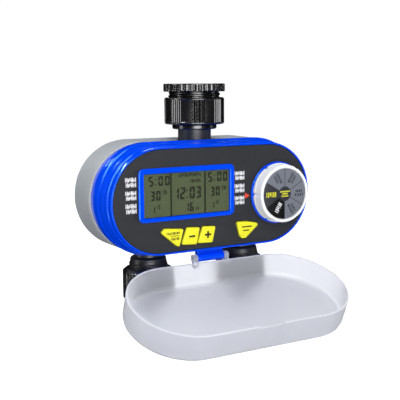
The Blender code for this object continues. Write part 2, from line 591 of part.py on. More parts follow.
door = outline_solid("battery_door", [rounded(rectangle(-18.7, 18.7, -29.9, 29.9), 3.7)], 52.3, 53.7, "grey_shell")
door_plug = helper(outline_solid("door_plug", [rounded(rectangle(-15.6, 15.6, -26.8, 26.8), 2.0)], 50.8, 52.6, "grey_shell"))
boolean(door, door_plug, "UNION")
boolean(door, rod("door_screw_recess", (0, 52.7, -22), "Y", 5, 3.5, cutter=True, sides=16))
boolean(door, rod("door_screw_hole", (0, 42, -22), "Y", 13, 1.7, cutter=True, sides=12))
outline_solid("battery_door_seal",
              [rounded(rectangle(-16.7, 16.7, -27.9, 27.9), 2.8), rounded(rectangle(-15.9, 15.9, -27.1, 27.1), 2.2)],
              50.8, 52.0, "seal_rubber")

# ---- fasteners ----
for k, (x, z) in enumerate(corners):
    screw = turned(f"housing_screw_{k + 1}",
                   [(0, -36.0), (2.2, -36.0), (2.8, -35.4), (2.8, -34.4), (1.25, -34.4), (1.25, -16.0), (0.6, -14.6), (0, -14.6)],
                   "steel", (x, 0, z), "Y", sides=8)
    boolean(screw, block(f"screw_slot_{k}", (x - 2.0, 35.4, z - 0.35), (x + 2.0, 37, z + 0.35), cutter=True))
screw = turned("battery_door_screw",
               [(0, -54.2), (2.2, -54.2), (2.8, -53.7), (2.8, -53.0), (1.25, -53.0), (1.25, -50.7), (0, -50.7)],
               "steel", (0, 0, -22), "Y", sides=12)
boolean(screw, block("door_screw_slot", (-2.0, 53.6, -22.35), (2.0, 56, -21.65), cutter=True))

for obj in list(parts.objects):
    if obj.type == "MESH" and not any(m.type == "SCREW" for m in obj.modifiers):
        shade(obj)
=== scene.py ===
import math

import bmesh
import bpy
import numpy as np
from mathutils import Matrix, Vector


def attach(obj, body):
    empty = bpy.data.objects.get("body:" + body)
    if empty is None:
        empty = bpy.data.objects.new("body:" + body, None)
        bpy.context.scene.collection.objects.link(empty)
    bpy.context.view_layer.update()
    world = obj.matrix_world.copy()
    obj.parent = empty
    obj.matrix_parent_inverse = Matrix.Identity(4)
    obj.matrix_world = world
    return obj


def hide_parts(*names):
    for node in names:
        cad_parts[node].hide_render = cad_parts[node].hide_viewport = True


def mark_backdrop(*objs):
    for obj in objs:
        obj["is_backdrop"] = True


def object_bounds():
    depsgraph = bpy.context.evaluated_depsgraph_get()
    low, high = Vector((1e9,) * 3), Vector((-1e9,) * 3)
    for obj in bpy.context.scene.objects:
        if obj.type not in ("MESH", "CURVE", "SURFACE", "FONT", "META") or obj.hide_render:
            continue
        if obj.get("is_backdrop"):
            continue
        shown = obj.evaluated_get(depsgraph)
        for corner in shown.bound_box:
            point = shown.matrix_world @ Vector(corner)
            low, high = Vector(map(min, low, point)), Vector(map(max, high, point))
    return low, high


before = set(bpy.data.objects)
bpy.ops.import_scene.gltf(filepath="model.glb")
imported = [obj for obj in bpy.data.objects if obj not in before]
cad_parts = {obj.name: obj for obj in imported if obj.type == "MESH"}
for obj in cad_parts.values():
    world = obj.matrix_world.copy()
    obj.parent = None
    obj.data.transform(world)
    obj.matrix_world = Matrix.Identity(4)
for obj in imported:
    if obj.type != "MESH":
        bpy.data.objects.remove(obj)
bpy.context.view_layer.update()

MM = 0.001
TAU = math.tau
PI = math.pi
HALF = 38.34
AXIS_Y = 26.8
INLET_TOP = 70.0
OUT_X = 34.4
DIAL_X = 45.51
HINGE = (5.4, -38.16)
OPEN = math.radians(111.4)
SCREWS = [(sx * 56.1, sz * 21.1) for sx in (-1, 1) for sz in (-1, 1)]
FRONT_END, REAR_START, BACK_Y = 27.7, 29.3, 53.5
HX = -1.5
BARREL_R = 2.5


def W(x, y, z):
    """Working frame (mm, origin in the faceplate's middle) to the row frame (metres)."""
    return (x * MM, (y - AXIS_Y) * MM, (z - INLET_TOP) * MM)


def srgb(r, g, b):
    return tuple((c / 255 / 12.92) if c / 255 <= 0.04045 else ((c / 255 + 0.055) / 1.055) ** 2.4 for c in (r, g, b))


# ------------------------------------------------------------------ camera, light and stage
cam_data = bpy.data.cameras.new("camera")
cam = bpy.data.objects.new("camera", cam_data)
bpy.context.scene.collection.objects.link(cam)
yaw, pitch, roll = math.radians(29.794), math.radians(7.967), math.radians(-0.397)
look = Vector((math.sin(yaw) * math.cos(pitch), math.cos(yaw) * math.cos(pitch), -math.sin(pitch)))
right = Vector((math.cos(yaw), -math.sin(yaw), 0))
up = right.cross(look)
right2 = right * math.cos(roll) + up * math.sin(roll)
up2 = up * math.cos(roll) - right * math.sin(roll)
turn = Matrix((right2, up2, -look)).transposed()
cam.matrix_world = Matrix.Translation((-0.25420, -0.45054, -0.00247)) @ turn.to_4x4()
cam_data.lens = 72.37
cam_data.sensor_width = 36
cam_data.clip_start = 0.02
cam_data.clip_end = 50
bpy.context.scene.camera = cam
bpy.context.scene.view_settings.view_transform = "Standard"
bpy.context.scene.view_settings.look = "None"

world = bpy.data.worlds.new("studio")
bpy.context.scene.world = world
world.use_nodes = True
wt = world.node_tree
wt.nodes.clear()
w_out = wt.nodes.new("ShaderNodeOutputWorld")
w_bg = wt.nodes.new("ShaderNodeBackground")
w_ramp = wt.nodes.new("ShaderNodeValToRGB")
w_sep = wt.nodes.new("ShaderNodeSeparateXYZ")
w_co = wt.nodes.new("ShaderNodeTexCoord")
w_map = wt.nodes.new("ShaderNodeMapRange")
w_map.inputs["From Min"].default_value = -1
w_map.inputs["From Max"].default_value = 1
wt.links.new(w_co.outputs["Generated"], w_sep.inputs[0])
wt.links.new(w_sep.outputs["Z"], w_map.inputs["Value"])
wt.links.new(w_map.outputs[0], w_ramp.inputs[0])
wt.links.new(w_ramp.outputs[0], w_bg.inputs["Color"])
wt.links.new(w_bg.outputs[0], w_out.inputs["Surface"])
w_ramp.color_ramp.elements[0].color = (0.78, 0.78, 0.79, 1)
w_ramp.color_ramp.elements[0].position = 0.35
w_ramp.color_ramp.elements[1].color = (0.70, 0.71, 0.73, 1)
w_ramp.color_ramp.elements[1].position = 0.85
w_bg.inputs["Strength"].default_value = 0.9
world.cycles_visibility.glossy = False


def area(name, place, target, size, power, colour=(1, 1, 1)):
    data = bpy.data.lights.new(name, "AREA")
    data.shape = "RECTANGLE"
    data.size, data.size_y = size
    data.energy = power
    data.color = colour
    obj = bpy.data.objects.new(name, data)
    bpy.context.scene.collection.objects.link(obj)
    obj.location = place
    obj.rotation_euler = (Vector(target) - Vector(place)).to_track_quat("-Z", "Y").to_euler()
    obj.visible_camera = False
    return obj


MID = (0.0, -0.02, -0.08)
area("key", (-0.35, -1.0, 0.75), MID, (0.6, 0.45), 6.2)
area("fill", (0.9, -0.6, 0.15), MID, (0.6, 0.8), 2.6, (0.97, 0.98, 1.0)).visible_glossy = False
area("low", (-0.1, -1.1, -0.55), MID, (0.9, 0.5), 2.0).visible_glossy = False
area("top", (-0.15, 0.25, 0.95), MID, (0.8, 0.6), 3.0).visible_glossy = False
area("behind_left", (-0.75, 0.55, 0.5), MID, (0.5, 0.5), 1.3).visible_glossy = False


def shine(name, place, target, size, power):
    """A strip that only shows in reflections."""
    lamp = area(name, place, target, size, power)
    lamp.visible_diffuse = False
    lamp.visible_transmission = False
    return lamp


shine("soft_front", (-0.28, -1.12, 0.0), (0, 0, -0.05), (0.75, 1.1), 27.0)
shine("strip_left", (-1.0, 0.2, -0.12), MID, (0.08, 0.9), 3.6)
shine("strip_upper_left", (-0.62, 0.28, 0.72), MID, (0.8, 0.09), 22.0)
shine("strip_upper", (0.35, 0.5, 0.75), MID, (0.6, 0.1), 2.5)
shine("strip_right", (0.95, -0.35, 0.0), MID, (0.05, 0.9), 1.2)


def principled(name):
    mat = bpy.data.materials.new(name)
    mat.use_nodes = True
    return mat, mat.node_tree, mat.node_tree.nodes["Principled BSDF"]


def plain_stage(name, colour, rough, glow):
    mat, tree, shader = principled(name)
    co = tree.nodes.new("ShaderNodeTexCoord")
    noise = tree.nodes.new("ShaderNodeTexNoise")
    noise.inputs["Scale"].default_value = 3
    ramp = tree.nodes.new("ShaderNodeValToRGB")
    ramp.color_ramp.elements[0].color = (*[c * 0.99 for c in colour], 1)
    ramp.color_ramp.elements[1].color = (*colour, 1)
    tree.links.new(co.outputs["Object"], noise.inputs["Vector"])
    tree.links.new(noise.outputs["Fac"], ramp.inputs[0])
    tree.links.new(ramp.outputs[0], shader.inputs["Base Color"])
    shader.inputs["Roughness"].default_value = rough
    shader.inputs["Specular IOR Level"].default_value = 0.0
    shader.inputs["Emission Color"].default_value = (1, 1, 1, 1)
    shader.inputs["Emission Strength"].default_value = glow
    return mat


floor_mesh = bpy.data.meshes.new("floor")
bm = bmesh.new()
bmesh.ops.create_circle(bm, cap_ends=True, segments=96, radius=5.0)
bm.to_mesh(floor_mesh)
bm.free()
floor = bpy.data.objects.new("floor", floor_mesh)
bpy.context.scene.collection.objects.link(floor)
floor.location = (0, 0, -0.62)
floor_mesh.materials.append(plain_stage("floor_pale", (0.88, 0.88, 0.88), 0.9, 0.8))
floor.visible_diffuse = False
floor.visible_glossy = False
back_mesh = bpy.data.meshes.new("backdrop")
bm = bmesh.new()
bmesh.ops.create_uvsphere(bm, u_segments=48, v_segments=24, radius=5.2)
bmesh.ops.reverse_faces(bm, faces=bm.faces)
bm.to_mesh(back_mesh)
bm.free()
backdrop = bpy.data.objects.new("backdrop", back_mesh)
bpy.context.scene.collection.objects.link(backdrop)
back_mesh.materials.append(plain_stage("backdrop_white", (0.02, 0.02, 0.02), 1.0, 1.0))
backdrop.visible_diffuse = False
backdrop.visible_glossy = False
backdrop.visible_shadow = False
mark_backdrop(floor, backdrop)


# ------------------------------------------------------------------ materials
def plastic(name, colour, rough=0.4, spec=0.5, vary=0.06, grain=2600, bump=0.12, depth=0.03, drift=55,
            rough_vary=0.08, metallic=0.0, coat=0.0, coat_rough=0.1, scratches=0.0, sheen=0.0, stretch=(1, 1, 1)):
    """Moulded plastic, rubber or metal: slow colour drift, a fine moulded grain that also moves the roughness,
    and faint scuffs."""
    mat, tree, shader = principled(name)
    new, link = tree.nodes.new, tree.links.new
    co = new("ShaderNodeTexCoord")
    scale = new("ShaderNodeMapping")
    scale.inputs["Scale"].default_value = stretch
    link(co.outputs["Object"], scale.inputs["Vector"])
    slow = new("ShaderNodeTexNoise")
    slow.inputs["Scale"].default_value = drift
    slow.inputs["Detail"].default_value = 3
    link(co.outputs["Object"], slow.inputs["Vector"])
    ramp = new("ShaderNodeValToRGB")
    ramp.color_ramp.elements[0].position = 0.3
    ramp.color_ramp.elements[1].position = 0.7
    ramp.color_ramp.elements[0].color = (*[max(0.0, c * (1 - vary)) for c in colour], 1)
    ramp.color_ramp.elements[1].color = (*[min(1.0, c * (1 + vary)) for c in colour], 1)
    link(slow.outputs["Fac"], ramp.inputs[0])
    fine = new("ShaderNodeTexNoise")
    fine.inputs["Scale"].default_value = grain
    fine.inputs["Detail"].default_value = 4
    fine.inputs["Roughness"].default_value = 0.6
    link(scale.outputs[0], fine.inputs["Vector"])
    speck = new("ShaderNodeMix")
    speck.data_type = "RGBA"
    speck.blend_type = "MULTIPLY"
    speck.inputs[0].default_value = 0.5 * vary
    link(ramp.outputs[0], speck.inputs[6])
    link(fine.outputs["Fac"], speck.inputs[7])
    link(speck.outputs[2], shader.inputs["Base Color"])
    spread = new("ShaderNodeMapRange")
    spread.inputs["From Min"].default_value = 0.3
    spread.inputs["From Max"].default_value = 0.7
    spread.inputs["To Min"].default_value = max(0.02, rough - rough_vary)
    spread.inputs["To Max"].default_value = min(1.0, rough + rough_vary)
    mixed = new("ShaderNodeMath")
    mixed.operation = "ADD"
    half = new("ShaderNodeMath")
    half.operation = "MULTIPLY"
    half.inputs[1].default_value = 0.5
    link(slow.outputs["Fac"], mixed.inputs[0])
    link(fine.outputs["Fac"], mixed.inputs[1])
    link(mixed.outputs[0], half.inputs[0])
    link(half.outputs[0], spread.inputs["Value"])
    link(spread.outputs[0], shader.inputs["Roughness"])
    relief = new("ShaderNodeBump")
    relief.inputs["Strength"].default_value = bump
    relief.inputs["Distance"].default_value = depth * MM
    link(fine.outputs["Fac"], relief.inputs["Height"])
    if scratches:
        marks = new("ShaderNodeTexNoise")
        marks.inputs["Scale"].default_value = 260
        marks.inputs["Detail"].default_value = 6
        marks.inputs["Distortion"].default_value = 1.6
        second = new("ShaderNodeBump")
        second.inputs["Strength"].default_value = scratches
        second.inputs["Distance"].default_value = 0.05 * MM
        link(co.outputs["Object"], marks.inputs["Vector"])
        link(marks.outputs["Fac"], second.inputs["Height"])
        link(relief.outputs[0], second.inputs["Normal"])
        link(second.outputs[0], shader.inputs["Normal"])
    else:
        link(relief.outputs[0], shader.inputs["Normal"])
    shader.inputs["Metallic"].default_value = metallic
    shader.inputs["Specular IOR Level"].default_value = spec
    if coat:
        shader.inputs["Coat Weight"].default_value = coat
        shader.inputs["Coat Roughness"].default_value = coat_rough
    if sheen:
        shader.inputs["Sheen Weight"].default_value = sheen
    return mat


BLUE = plastic("blue_moulding", (0.0, 0.0650, 0.92), 0.11, spec=0.6, vary=0.04, grain=1500, bump=0.04, rough_vary=0.03, scratches=0.03)
BLUE.node_tree.nodes["Principled BSDF"].inputs["Specular Tint"].default_value = (0.22, 0.72, 1.0, 1.0)
GREY = plastic("grey_moulding", srgb(160, 165, 170), 0.55, spec=0.25, vary=0.035, grain=2200, bump=0.22, depth=0.05)
SEAL = plastic("seal_moulding", srgb(205, 205, 196), 0.6, spec=0.3, vary=0.04, bump=0.15)
FACE = plastic("face_moulding", srgb(45, 46, 50), 0.66, spec=0.1, vary=0.05, grain=2000, bump=0.3, depth=0.05)
BLACK = plastic("black_moulding", srgb(20, 20, 22), 0.24, spec=0.65, vary=0.12, grain=1700, bump=0.16, depth=0.05, scratches=0.06)
VALVE = plastic("valve_moulding", srgb(34, 34, 35), 0.42, spec=0.45, vary=0.12, grain=1600, bump=0.16, depth=0.05, scratches=0.06)
YELLOW = plastic("key_rubber", srgb(237, 232, 22), 0.55, spec=0.25, vary=0.03, grain=3000, bump=0.2, depth=0.03)
MARK = plastic("key_print", srgb(22, 20, 16), 0.6, spec=0.2, vary=0.1)
PRINT = plastic("white_print", srgb(236, 236, 240), 0.55, spec=0.2, vary=0.03)
RED = plastic("arrow_print", srgb(236, 72, 44), 0.5, spec=0.2, vary=0.04)
KNOB = plastic("knob_moulding", srgb(250, 252, 255), 0.36, spec=0.4, vary=0.015, grain=2200, bump=0.08)
LABEL_GREY = plastic("label_grey", srgb(114, 118, 128), 0.5, spec=0.12, vary=0.03, grain=3500, bump=0.06)
LABEL_DARK = plastic("label_dark", srgb(44, 46, 52), 0.42, spec=0.25, vary=0.05, grain=3500, bump=0.06)
LABEL_BLACK = plastic("label_black", srgb(8, 8, 9), 0.42, spec=0.2, vary=0.1, grain=3500, bump=0.06)
LABEL_LINE = plastic("label_line", srgb(40, 42, 46), 0.45, spec=0.2, vary=0.05)
LABEL_YELLOW = plastic("label_yellow", srgb(228, 224, 40), 0.5, spec=0.2, vary=0.03)
LCD = plastic("lcd_film", srgb(77, 87, 56), 0.5, spec=0.1, vary=0.035, grain=900, bump=0.04, drift=120)
LCD_INK = plastic("lcd_ink", srgb(7, 9, 5), 0.6, spec=0.05, vary=0.1)
RUBBER = plastic("black_ring_rubber", srgb(22, 22, 23), 0.7, spec=0.25, vary=0.1, bump=0.25)
MAT_RUBBER = plastic("mat_ring_rubber", srgb(128, 128, 128), 0.75, spec=0.25, vary=0.05, bump=0.25)
STEEL = plastic("plated_steel", srgb(190, 190, 192), 0.28, spec=0.5, vary=0.05, grain=900, bump=0.1, metallic=1.0, stretch=(1, 6, 1))
TIN = plastic("motor_steel", srgb(165, 166, 168), 0.34, spec=0.5, vary=0.06, grain=700, bump=0.12, metallic=1.0, stretch=(1, 8, 1))
BOARD = plastic("board_mask", srgb(20, 92, 48), 0.4, spec=0.4, vary=0.15, grain=700, bump=0.2)
SWITCH = plastic("switch_moulding", srgb(34, 34, 40), 0.5, spec=0.3, vary=0.08)
GEAR = plastic("gear_acetal", srgb(228, 225, 214), 0.42, spec=0.4, vary=0.03, bump=0.1)
CELL = plastic("cell_sleeve", srgb(38, 38, 42), 0.3, spec=0.5, vary=0.1, drift=120)
TRAY = plastic("tray_moulding", srgb(34, 34, 37), 0.5, spec=0.35, vary=0.1, bump=0.2)
FILTER = plastic("filter_mesh_fibre", srgb(178, 180, 182), 0.45, spec=0.35, vary=0.1, grain=3400, bump=0.6, depth=0.1)


def clear(name, colour, rough, transmission, spec=0.5, bump=0.05, grain=700, vary=0.02, ior=1.45, drift=35):
    """Clear or frosted plastic with a faint moulded waviness."""
    mat, tree, shader = principled(name)
    new, link = tree.nodes.new, tree.links.new
    co = new("ShaderNodeTexCoord")
    slow = new("ShaderNodeTexNoise")
    slow.inputs["Scale"].default_value = drift
    slow.inputs["Detail"].default_value = 3
    link(co.outputs["Object"], slow.inputs["Vector"])
    ramp = new("ShaderNodeValToRGB")
    ramp.color_ramp.elements[0].color = (*[c * (1 - vary) for c in colour], 1)
    ramp.color_ramp.elements[1].color = (*[min(1, c * (1 + vary)) for c in colour], 1)
    link(slow.outputs["Fac"], ramp.inputs[0])
    link(ramp.outputs[0], shader.inputs["Base Color"])
    fine = new("ShaderNodeTexNoise")
    fine.inputs["Scale"].default_value = grain
    fine.inputs["Detail"].default_value = 3
    link(co.outputs["Object"], fine.inputs["Vector"])
    spread = new("ShaderNodeMapRange")
    spread.inputs["To Min"].default_value = max(0.01, rough * 0.85)
    spread.inputs["To Max"].default_value = min(1, rough * 1.15)
    link(fine.outputs["Fac"], spread.inputs["Value"])
    link(spread.outputs[0], shader.inputs["Roughness"])
    relief = new("ShaderNodeBump")
    relief.inputs["Strength"].default_value = bump
    relief.inputs["Distance"].default_value = 0.04 * MM
    link(fine.outputs["Fac"], relief.inputs["Height"])
    link(relief.outputs[0], shader.inputs["Normal"])
    shader.inputs["Transmission Weight"].default_value = transmission
    shader.inputs["IOR"].default_value = ior
    shader.inputs["Specular IOR Level"].default_value = spec
    return mat


COVER = clear("cover_frosted", srgb(230, 231, 236), 0.3, 0.74, spec=0.4, bump=0.08)
# a darker, cloudier copy of the cover plastic for the tray's floor and its corners: painted shade on the same moulding
# as the walls
COVER_FLOOR_SHADED = clear("cover_floor_painted_shade", srgb(212, 214, 220), 0.42, 0.62, spec=0.35, bump=0.08)
# a whiter, less clear copy of the cover plastic for the rim's faces: a painted highlight along the rim
COVER_RIM_LIT = clear("cover_rim_painted_highlight", srgb(238, 239, 243), 0.3, 0.45, spec=0.4)
LENS = clear("display_lens", (0.3, 0.35, 0.24), 0.12, 0.0, spec=0.3, bump=0.0)
LENS.node_tree.nodes["Principled BSDF"].inputs["Alpha"].default_value = 0.05


# ------------------------------------------------------------------ mesh helpers (millimetres, working frame)
pieces_made = []


def build(name, verts, faces, mats, sharp=38, mat_index=None):
    mesh = bpy.data.meshes.new(name)
    mesh.from_pydata([W(*v) for v in verts], [], faces)
    bm = bmesh.new()
    bm.from_mesh(mesh)
    if mat_index:
        for f, k in zip(bm.faces, mat_index):
            f.material_index = k
    bmesh.ops.remove_doubles(bm, verts=bm.verts, dist=0.0000004)
    bmesh.ops.recalc_face_normals(bm, faces=bm.faces)
    bm.to_mesh(mesh)
    bm.free()
    for m in mats if isinstance(mats, (list, tuple)) else [mats]:
        mesh.materials.append(m)
    obj = bpy.data.objects.new(name, mesh)
    bpy.context.scene.collection.objects.link(obj)
    soft(obj, sharp)
    return obj


def soft(obj, angle=38):
    obj.data.shade_smooth()
    obj.data.set_sharp_from_angle(angle=math.radians(angle))
    return obj


def arcs(points, steps=3, closed=True):
    """Rounds the corners of a polyline of (u, v) or (u, v, radius)."""
    out = []
    n = len(points)
    for i, p in enumerate(points):
        r = p[2] if len(p) > 2 else 0.0
        if r <= 0 or (not closed and i in (0, n - 1)):
            out.append((p[0], p[1]))
            continue
        c = Vector(p[:2])
        a, b = Vector(points[i - 1][:2]), Vector(points[(i + 1) % n][:2])
        u, v = a - c, b - c
        lu, lv = u.length, v.length
        if lu < 1e-9 or lv < 1e-9:
            out.append((p[0], p[1]))
            continue
        u, v = u / lu, v / lv
        half = math.acos(max(-1, min(1, u.dot(v)))) / 2
        if half > PI / 2 - 0.02 or half < 0.02:
            out.append((p[0], p[1]))
            continue
        reach = min(r / math.tan(half), 0.48 * lu, 0.48 * lv)
        size = reach * math.tan(half)
        centre = c + (u + v).normalized() * (size / math.sin(half))
        first, last = c + u * reach - centre, c + v * reach - centre
        sweep = first.angle_signed(last)
        for k in range(steps + 1):
            t = -sweep * k / steps
            cs, sn = math.cos(t), math.sin(t)
            out.append((centre.x + first.x * cs - first.y * sn, centre.y + first.x * sn + first.y * cs))
    return out


def lathe(name, profile, centre, axis, mats, segs=96, ring=False, shape=None, sharp=38, mat_of=None):
    """Turns (r, h) points about an axis through centre. Heights run along +Z, or along -Y for axis Y.
    shape(angle, r, h) adds to the radius, for ribs, knurls and threads."""
    verts, rows = [], []
    cx, cy, cz = centre
    for r, h in profile:
        if r < 1e-6:
            rows.append([len(verts)])
            verts.append((cx, cy, cz + h) if axis == "Z" else (cx, cy - h, cz))
            continue
        row = []
        for j in range(segs):
            a = TAU * j / segs
            rr = r + (shape(a, r, h) if shape else 0)
            row.append(len(verts))
            if axis == "Z":
                verts.append((cx + rr * math.cos(a), cy + rr * math.sin(a), cz + h))
            else:
                verts.append((cx + rr * math.cos(a), cy - h, cz + rr * math.sin(a)))
        rows.append(row)
    faces, index = [], []
    pairs = list(zip(rows, rows[1:])) + ([(rows[-1], rows[0])] if ring else [])
    for k, (p, q) in enumerate(pairs):
        for j in range(segs):
            i = (j + 1) % segs
            if len(p) == 1 and len(q) == 1:
                break
            if len(p) == 1:
                faces.append((p[0], q[i], q[j]))
            elif len(q) == 1:
                faces.append((p[j], p[i], q[0]))
            else:
                faces.append((p[j], p[i], q[i], q[j]))
            index.append(mat_of(k, TAU * (j + 0.5) / segs) if mat_of else 0)
    if not ring:
        if len(rows[0]) > 1:
            faces.append(tuple(reversed(rows[0])))
            index.append(0)
        if len(rows[-1]) > 1:
            faces.append(tuple(rows[-1]))
            index.append(0)
    return build(name, verts, faces, mats, sharp, index)


def stadium(radius, steps=40, half=HALF, straight=6):
    out = []
    for side in (1, -1):
        start = -PI / 2 if side > 0 else PI / 2
        for i in range(steps + 1):
            t = start + PI * i / steps
            out.append((side * half + radius * math.cos(t), radius * math.sin(t)))
        a, b = out[-1], (-side * half, out[-1][1])
        for i in range(1, straight):
            out.append((a[0] + (b[0] - a[0]) * i / straight, a[1]))
    return out


def loft(name, sections, mats, ring=False, steps=40, sharp=38, place=None, mat_of=None, outline=None):
    """Joins stadium outlines of (end radius, y)."""
    verts, rows = [], []
    for r, y in sections:
        row = []
        for x, z in (outline or stadium)(r, steps):
            row.append(len(verts))
            verts.append(place(x, y, z) if place else (x, y, z))
        rows.append(row)
    faces, index = [], []
    n = len(rows[0])
    pairs = list(zip(rows, rows[1:])) + ([(rows[-1], rows[0])] if ring else [])
    for k, (p, q) in enumerate(pairs):
        for j in range(n):
            i = (j + 1) % n
            faces.append((p[j], p[i], q[i], q[j]))
            index.append(mat_of(k) if mat_of else 0)
    if not ring:
        faces.append(tuple(reversed(rows[0])))
        faces.append(tuple(rows[-1]))
        index += [0, 0]
    return build(name, verts, faces, mats, sharp, index)


def slab(name, loops, y0, y1, mat, edge=0.0, res=2, sharp=38):
    """A flat outline with holes, in the face's plane, from y0 to y1, with rounded edges."""
    curve = bpy.data.curves.new(name, "CURVE")
    curve.dimensions = "2D"
    curve.fill_mode = "BOTH"
    curve.extrude = ((y1 - y0) / 2 - edge) * MM
    if edge:
        curve.bevel_depth = edge * MM
        curve.bevel_resolution = res
        curve.offset = -edge * MM
    for loop in loops:
        spline = curve.splines.new("POLY")
        spline.points.add(len(loop) - 1)
        spline.use_cyclic_u = True
        for point, (x, z) in zip(spline.points, loop):
            point.co = (x * MM, z * MM, 0, 1)
    guide = bpy.data.objects.new(name + "_outline", curve)
    bpy.context.scene.collection.objects.link(guide)
    graph = bpy.context.evaluated_depsgraph_get()
    mesh = bpy.data.meshes.new_from_object(guide.evaluated_get(graph))
    bpy.data.objects.remove(guide, do_unlink=True)
    bpy.data.curves.remove(curve)
    middle = (y0 + y1) / 2
    mesh.transform(Matrix.Translation(W(0, middle, 0)) @ Matrix.Rotation(PI / 2, 4, "X"))
    bm = bmesh.new()
    bm.from_mesh(mesh)
    bmesh.ops.remove_doubles(bm, verts=bm.verts, dist=0.0000006)
    bmesh.ops.recalc_face_normals(bm, faces=bm.faces)
    bm.to_mesh(mesh)
    bm.free()
    mesh.name = name
    mesh.materials.clear()
    mesh.materials.append(mat)
    for p in mesh.polygons:
        p.material_index = 0
    obj = bpy.data.objects.new(name, mesh)
    bpy.context.scene.collection.objects.link(obj)
    return soft(obj, sharp)


def box(name, low, high, mat=None, bevel=0.0):
    bm = bmesh.new()
    bmesh.ops.create_cube(bm, size=1)
    size = [(h - l) * MM for l, h in zip(low, high)]
    bmesh.ops.scale(bm, verts=bm.verts, vec=size)
    if bevel:
        bmesh.ops.bevel(bm, geom=bm.edges[:], offset=bevel * MM, segments=3, profile=0.5, affect="EDGES")
    bmesh.ops.translate(bm, verts=bm.verts, vec=W(*[(l + h) / 2 for l, h in zip(low, high)]))
    mesh = bpy.data.meshes.new(name)
    bm.to_mesh(mesh)
    bm.free()
    if mat:
        mesh.materials.append(mat)
    obj = bpy.data.objects.new(name, mesh)
    bpy.context.scene.collection.objects.link(obj)
    return soft(obj)


def rod(name, start, axis, length, radius, mat=None, sides=40, bevel=0.0, place=None):
    """A cylinder from start along +axis."""
    prof = [(0, 0), (radius, 0), (radius, length), (0, length)]
    if bevel:
        prof = arcs([(0, 0), (radius, 0, bevel), (radius, length, bevel), (0, length)], 3, closed=False)
    verts, rows = [], []
    sx, sy, sz = start
    for r, h in prof:
        row = []
        for j in range(sides if r > 1e-6 else 1):
            a = TAU * j / sides
            u, v = r * math.cos(a), r * math.sin(a)
            p = {"X": (sx + h, sy + u, sz + v), "Y": (sx + u, sy + h, sz + v), "Z": (sx + u, sy + v, sz + h)}[axis]
            row.append(len(verts))
            verts.append(place(*p) if place else p)
        rows.append(row)
    faces = []
    for p, q in zip(rows, rows[1:]):
        for j in range(sides):
            i = (j + 1) % sides
            if len(p) == 1:
                faces.append((p[0], q[i], q[j]))
            elif len(q) == 1:
                faces.append((p[j], p[i], q[0]))
            else:
                faces.append((p[j], p[i], q[i], q[j]))
    return build(name, verts, faces, [mat] if mat else [])


def combine(obj, *tools, keep_mats=False, sharp=38):
    """Applies (tool, operation) booleans in turn, and removes the tools."""
    for tool, operation in tools:
        mod = obj.modifiers.new(tool.name, "BOOLEAN")
        mod.operation = operation
        mod.object = tool
        mod.solver = "EXACT"
    graph = bpy.context.evaluated_depsgraph_get()
    mesh = bpy.data.meshes.new_from_object(obj.evaluated_get(graph))
    mats = list(obj.data.materials)
    obj.modifiers.clear()
    old = obj.data
    obj.data = mesh
    bpy.data.meshes.remove(old)
    for tool, _ in tools:
        bpy.data.objects.remove(tool, do_unlink=True)
    if not keep_mats:
        mesh.materials.clear()
        mesh.materials.append(mats[0])
        for p in mesh.polygons:
            p.material_index = 0
    bm = bmesh.new()
    bm.from_mesh(mesh)
    bmesh.ops.remove_doubles(bm, verts=bm.verts, dist=0.0000005)
    bm.to_mesh(mesh)
    bm.free()
    return soft(obj, sharp)


def put(obj, body, slot, *nodes):
    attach(obj, body)
    if nodes:
        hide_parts(*nodes)
    return obj


def rectangle(x0, x1, z0, z1, r=0.0, steps=5):
    pts = [(x0, z0, r), (x1, z0, r), (x1, z1, r), (x0, z1, r)]
    return arcs(pts, steps) if r else [p[:2] for p in pts]


def circle(x, z, radius, steps=64):
    return [(x + radius * math.cos(TAU * i / steps), z + radius * math.sin(TAU * i / steps)) for i in range(steps)]


def offset_outline(points, by):
    area_ = sum(a[0] * b[1] - b[0] * a[1] for a, b in zip(points, points[1:] + points[:1]))
    if area_ < 0:
        points = points[::-1]
    lines = []
    for a, b in zip(points, points[1:] + points[:1]):
        dx, dz = b[0] - a[0], b[1] - a[1]
        size = math.hypot(dx, dz)
        lines.append(((a[0] + dz / size * by, a[1] - dx / size * by), (dx, dz)))
    out = []
    for (p, d), (q, e) in zip(lines[-1:] + lines[:-1], lines):
        cross = d[0] * e[1] - d[1] * e[0]
        t = ((q[0] - p[0]) * e[1] - (q[1] - p[1]) * e[0]) / cross
        out.append((p[0] + d[0] * t, p[1] + d[1] * t))
    return out


# ------------------------------------------------------------------ front housing (blue)
front = loft(
    "front_shell",
    arcs([(31.45, 2.6, 0.1), (31.45, -0.4, 0.35), (32.35, -0.5, 0.75), (32.75, 0.9, 0.5), (32.72, 3.0, 0.25), (32.35, 3.5, 0.2),
          (32.35, 4.4, 0.15), (33.25, 4.75, 0.4), (33.6, 7.7, 0.3), (33.2, 8.1, 0.15), (33.2, 8.7, 0.15), (33.85, 9.1, 0.35), (34.3, 13.1, 0.35),
          (33.8, 13.5, 0.15), (33.8, 14.1, 0.15), (34.98, 14.6, 0.5), (34.98, 17.4, 0.5), (34.3, 18.0, 0.2), (34.3, 18.6, 0.2), (34.75, 19.0, 0.35),
          (34.75, 21.6, 0.4), (33.95, 22.1, 0.15), (33.7, FRONT_END, 0.3), (31.3, FRONT_END, 0.2),
          (31.3, 6.0, 0.2), (29.0, 6.0, 0.2), (29.0, 2.6, 0.1)], 3),
    BLUE, ring=True)
tools = [(rod(f"t_boss_{k}", (x, 5.0, z), "Y", FRONT_END - 5.0, 3.6, BLUE, 24), "UNION") for k, (x, z) in enumerate(SCREWS)]
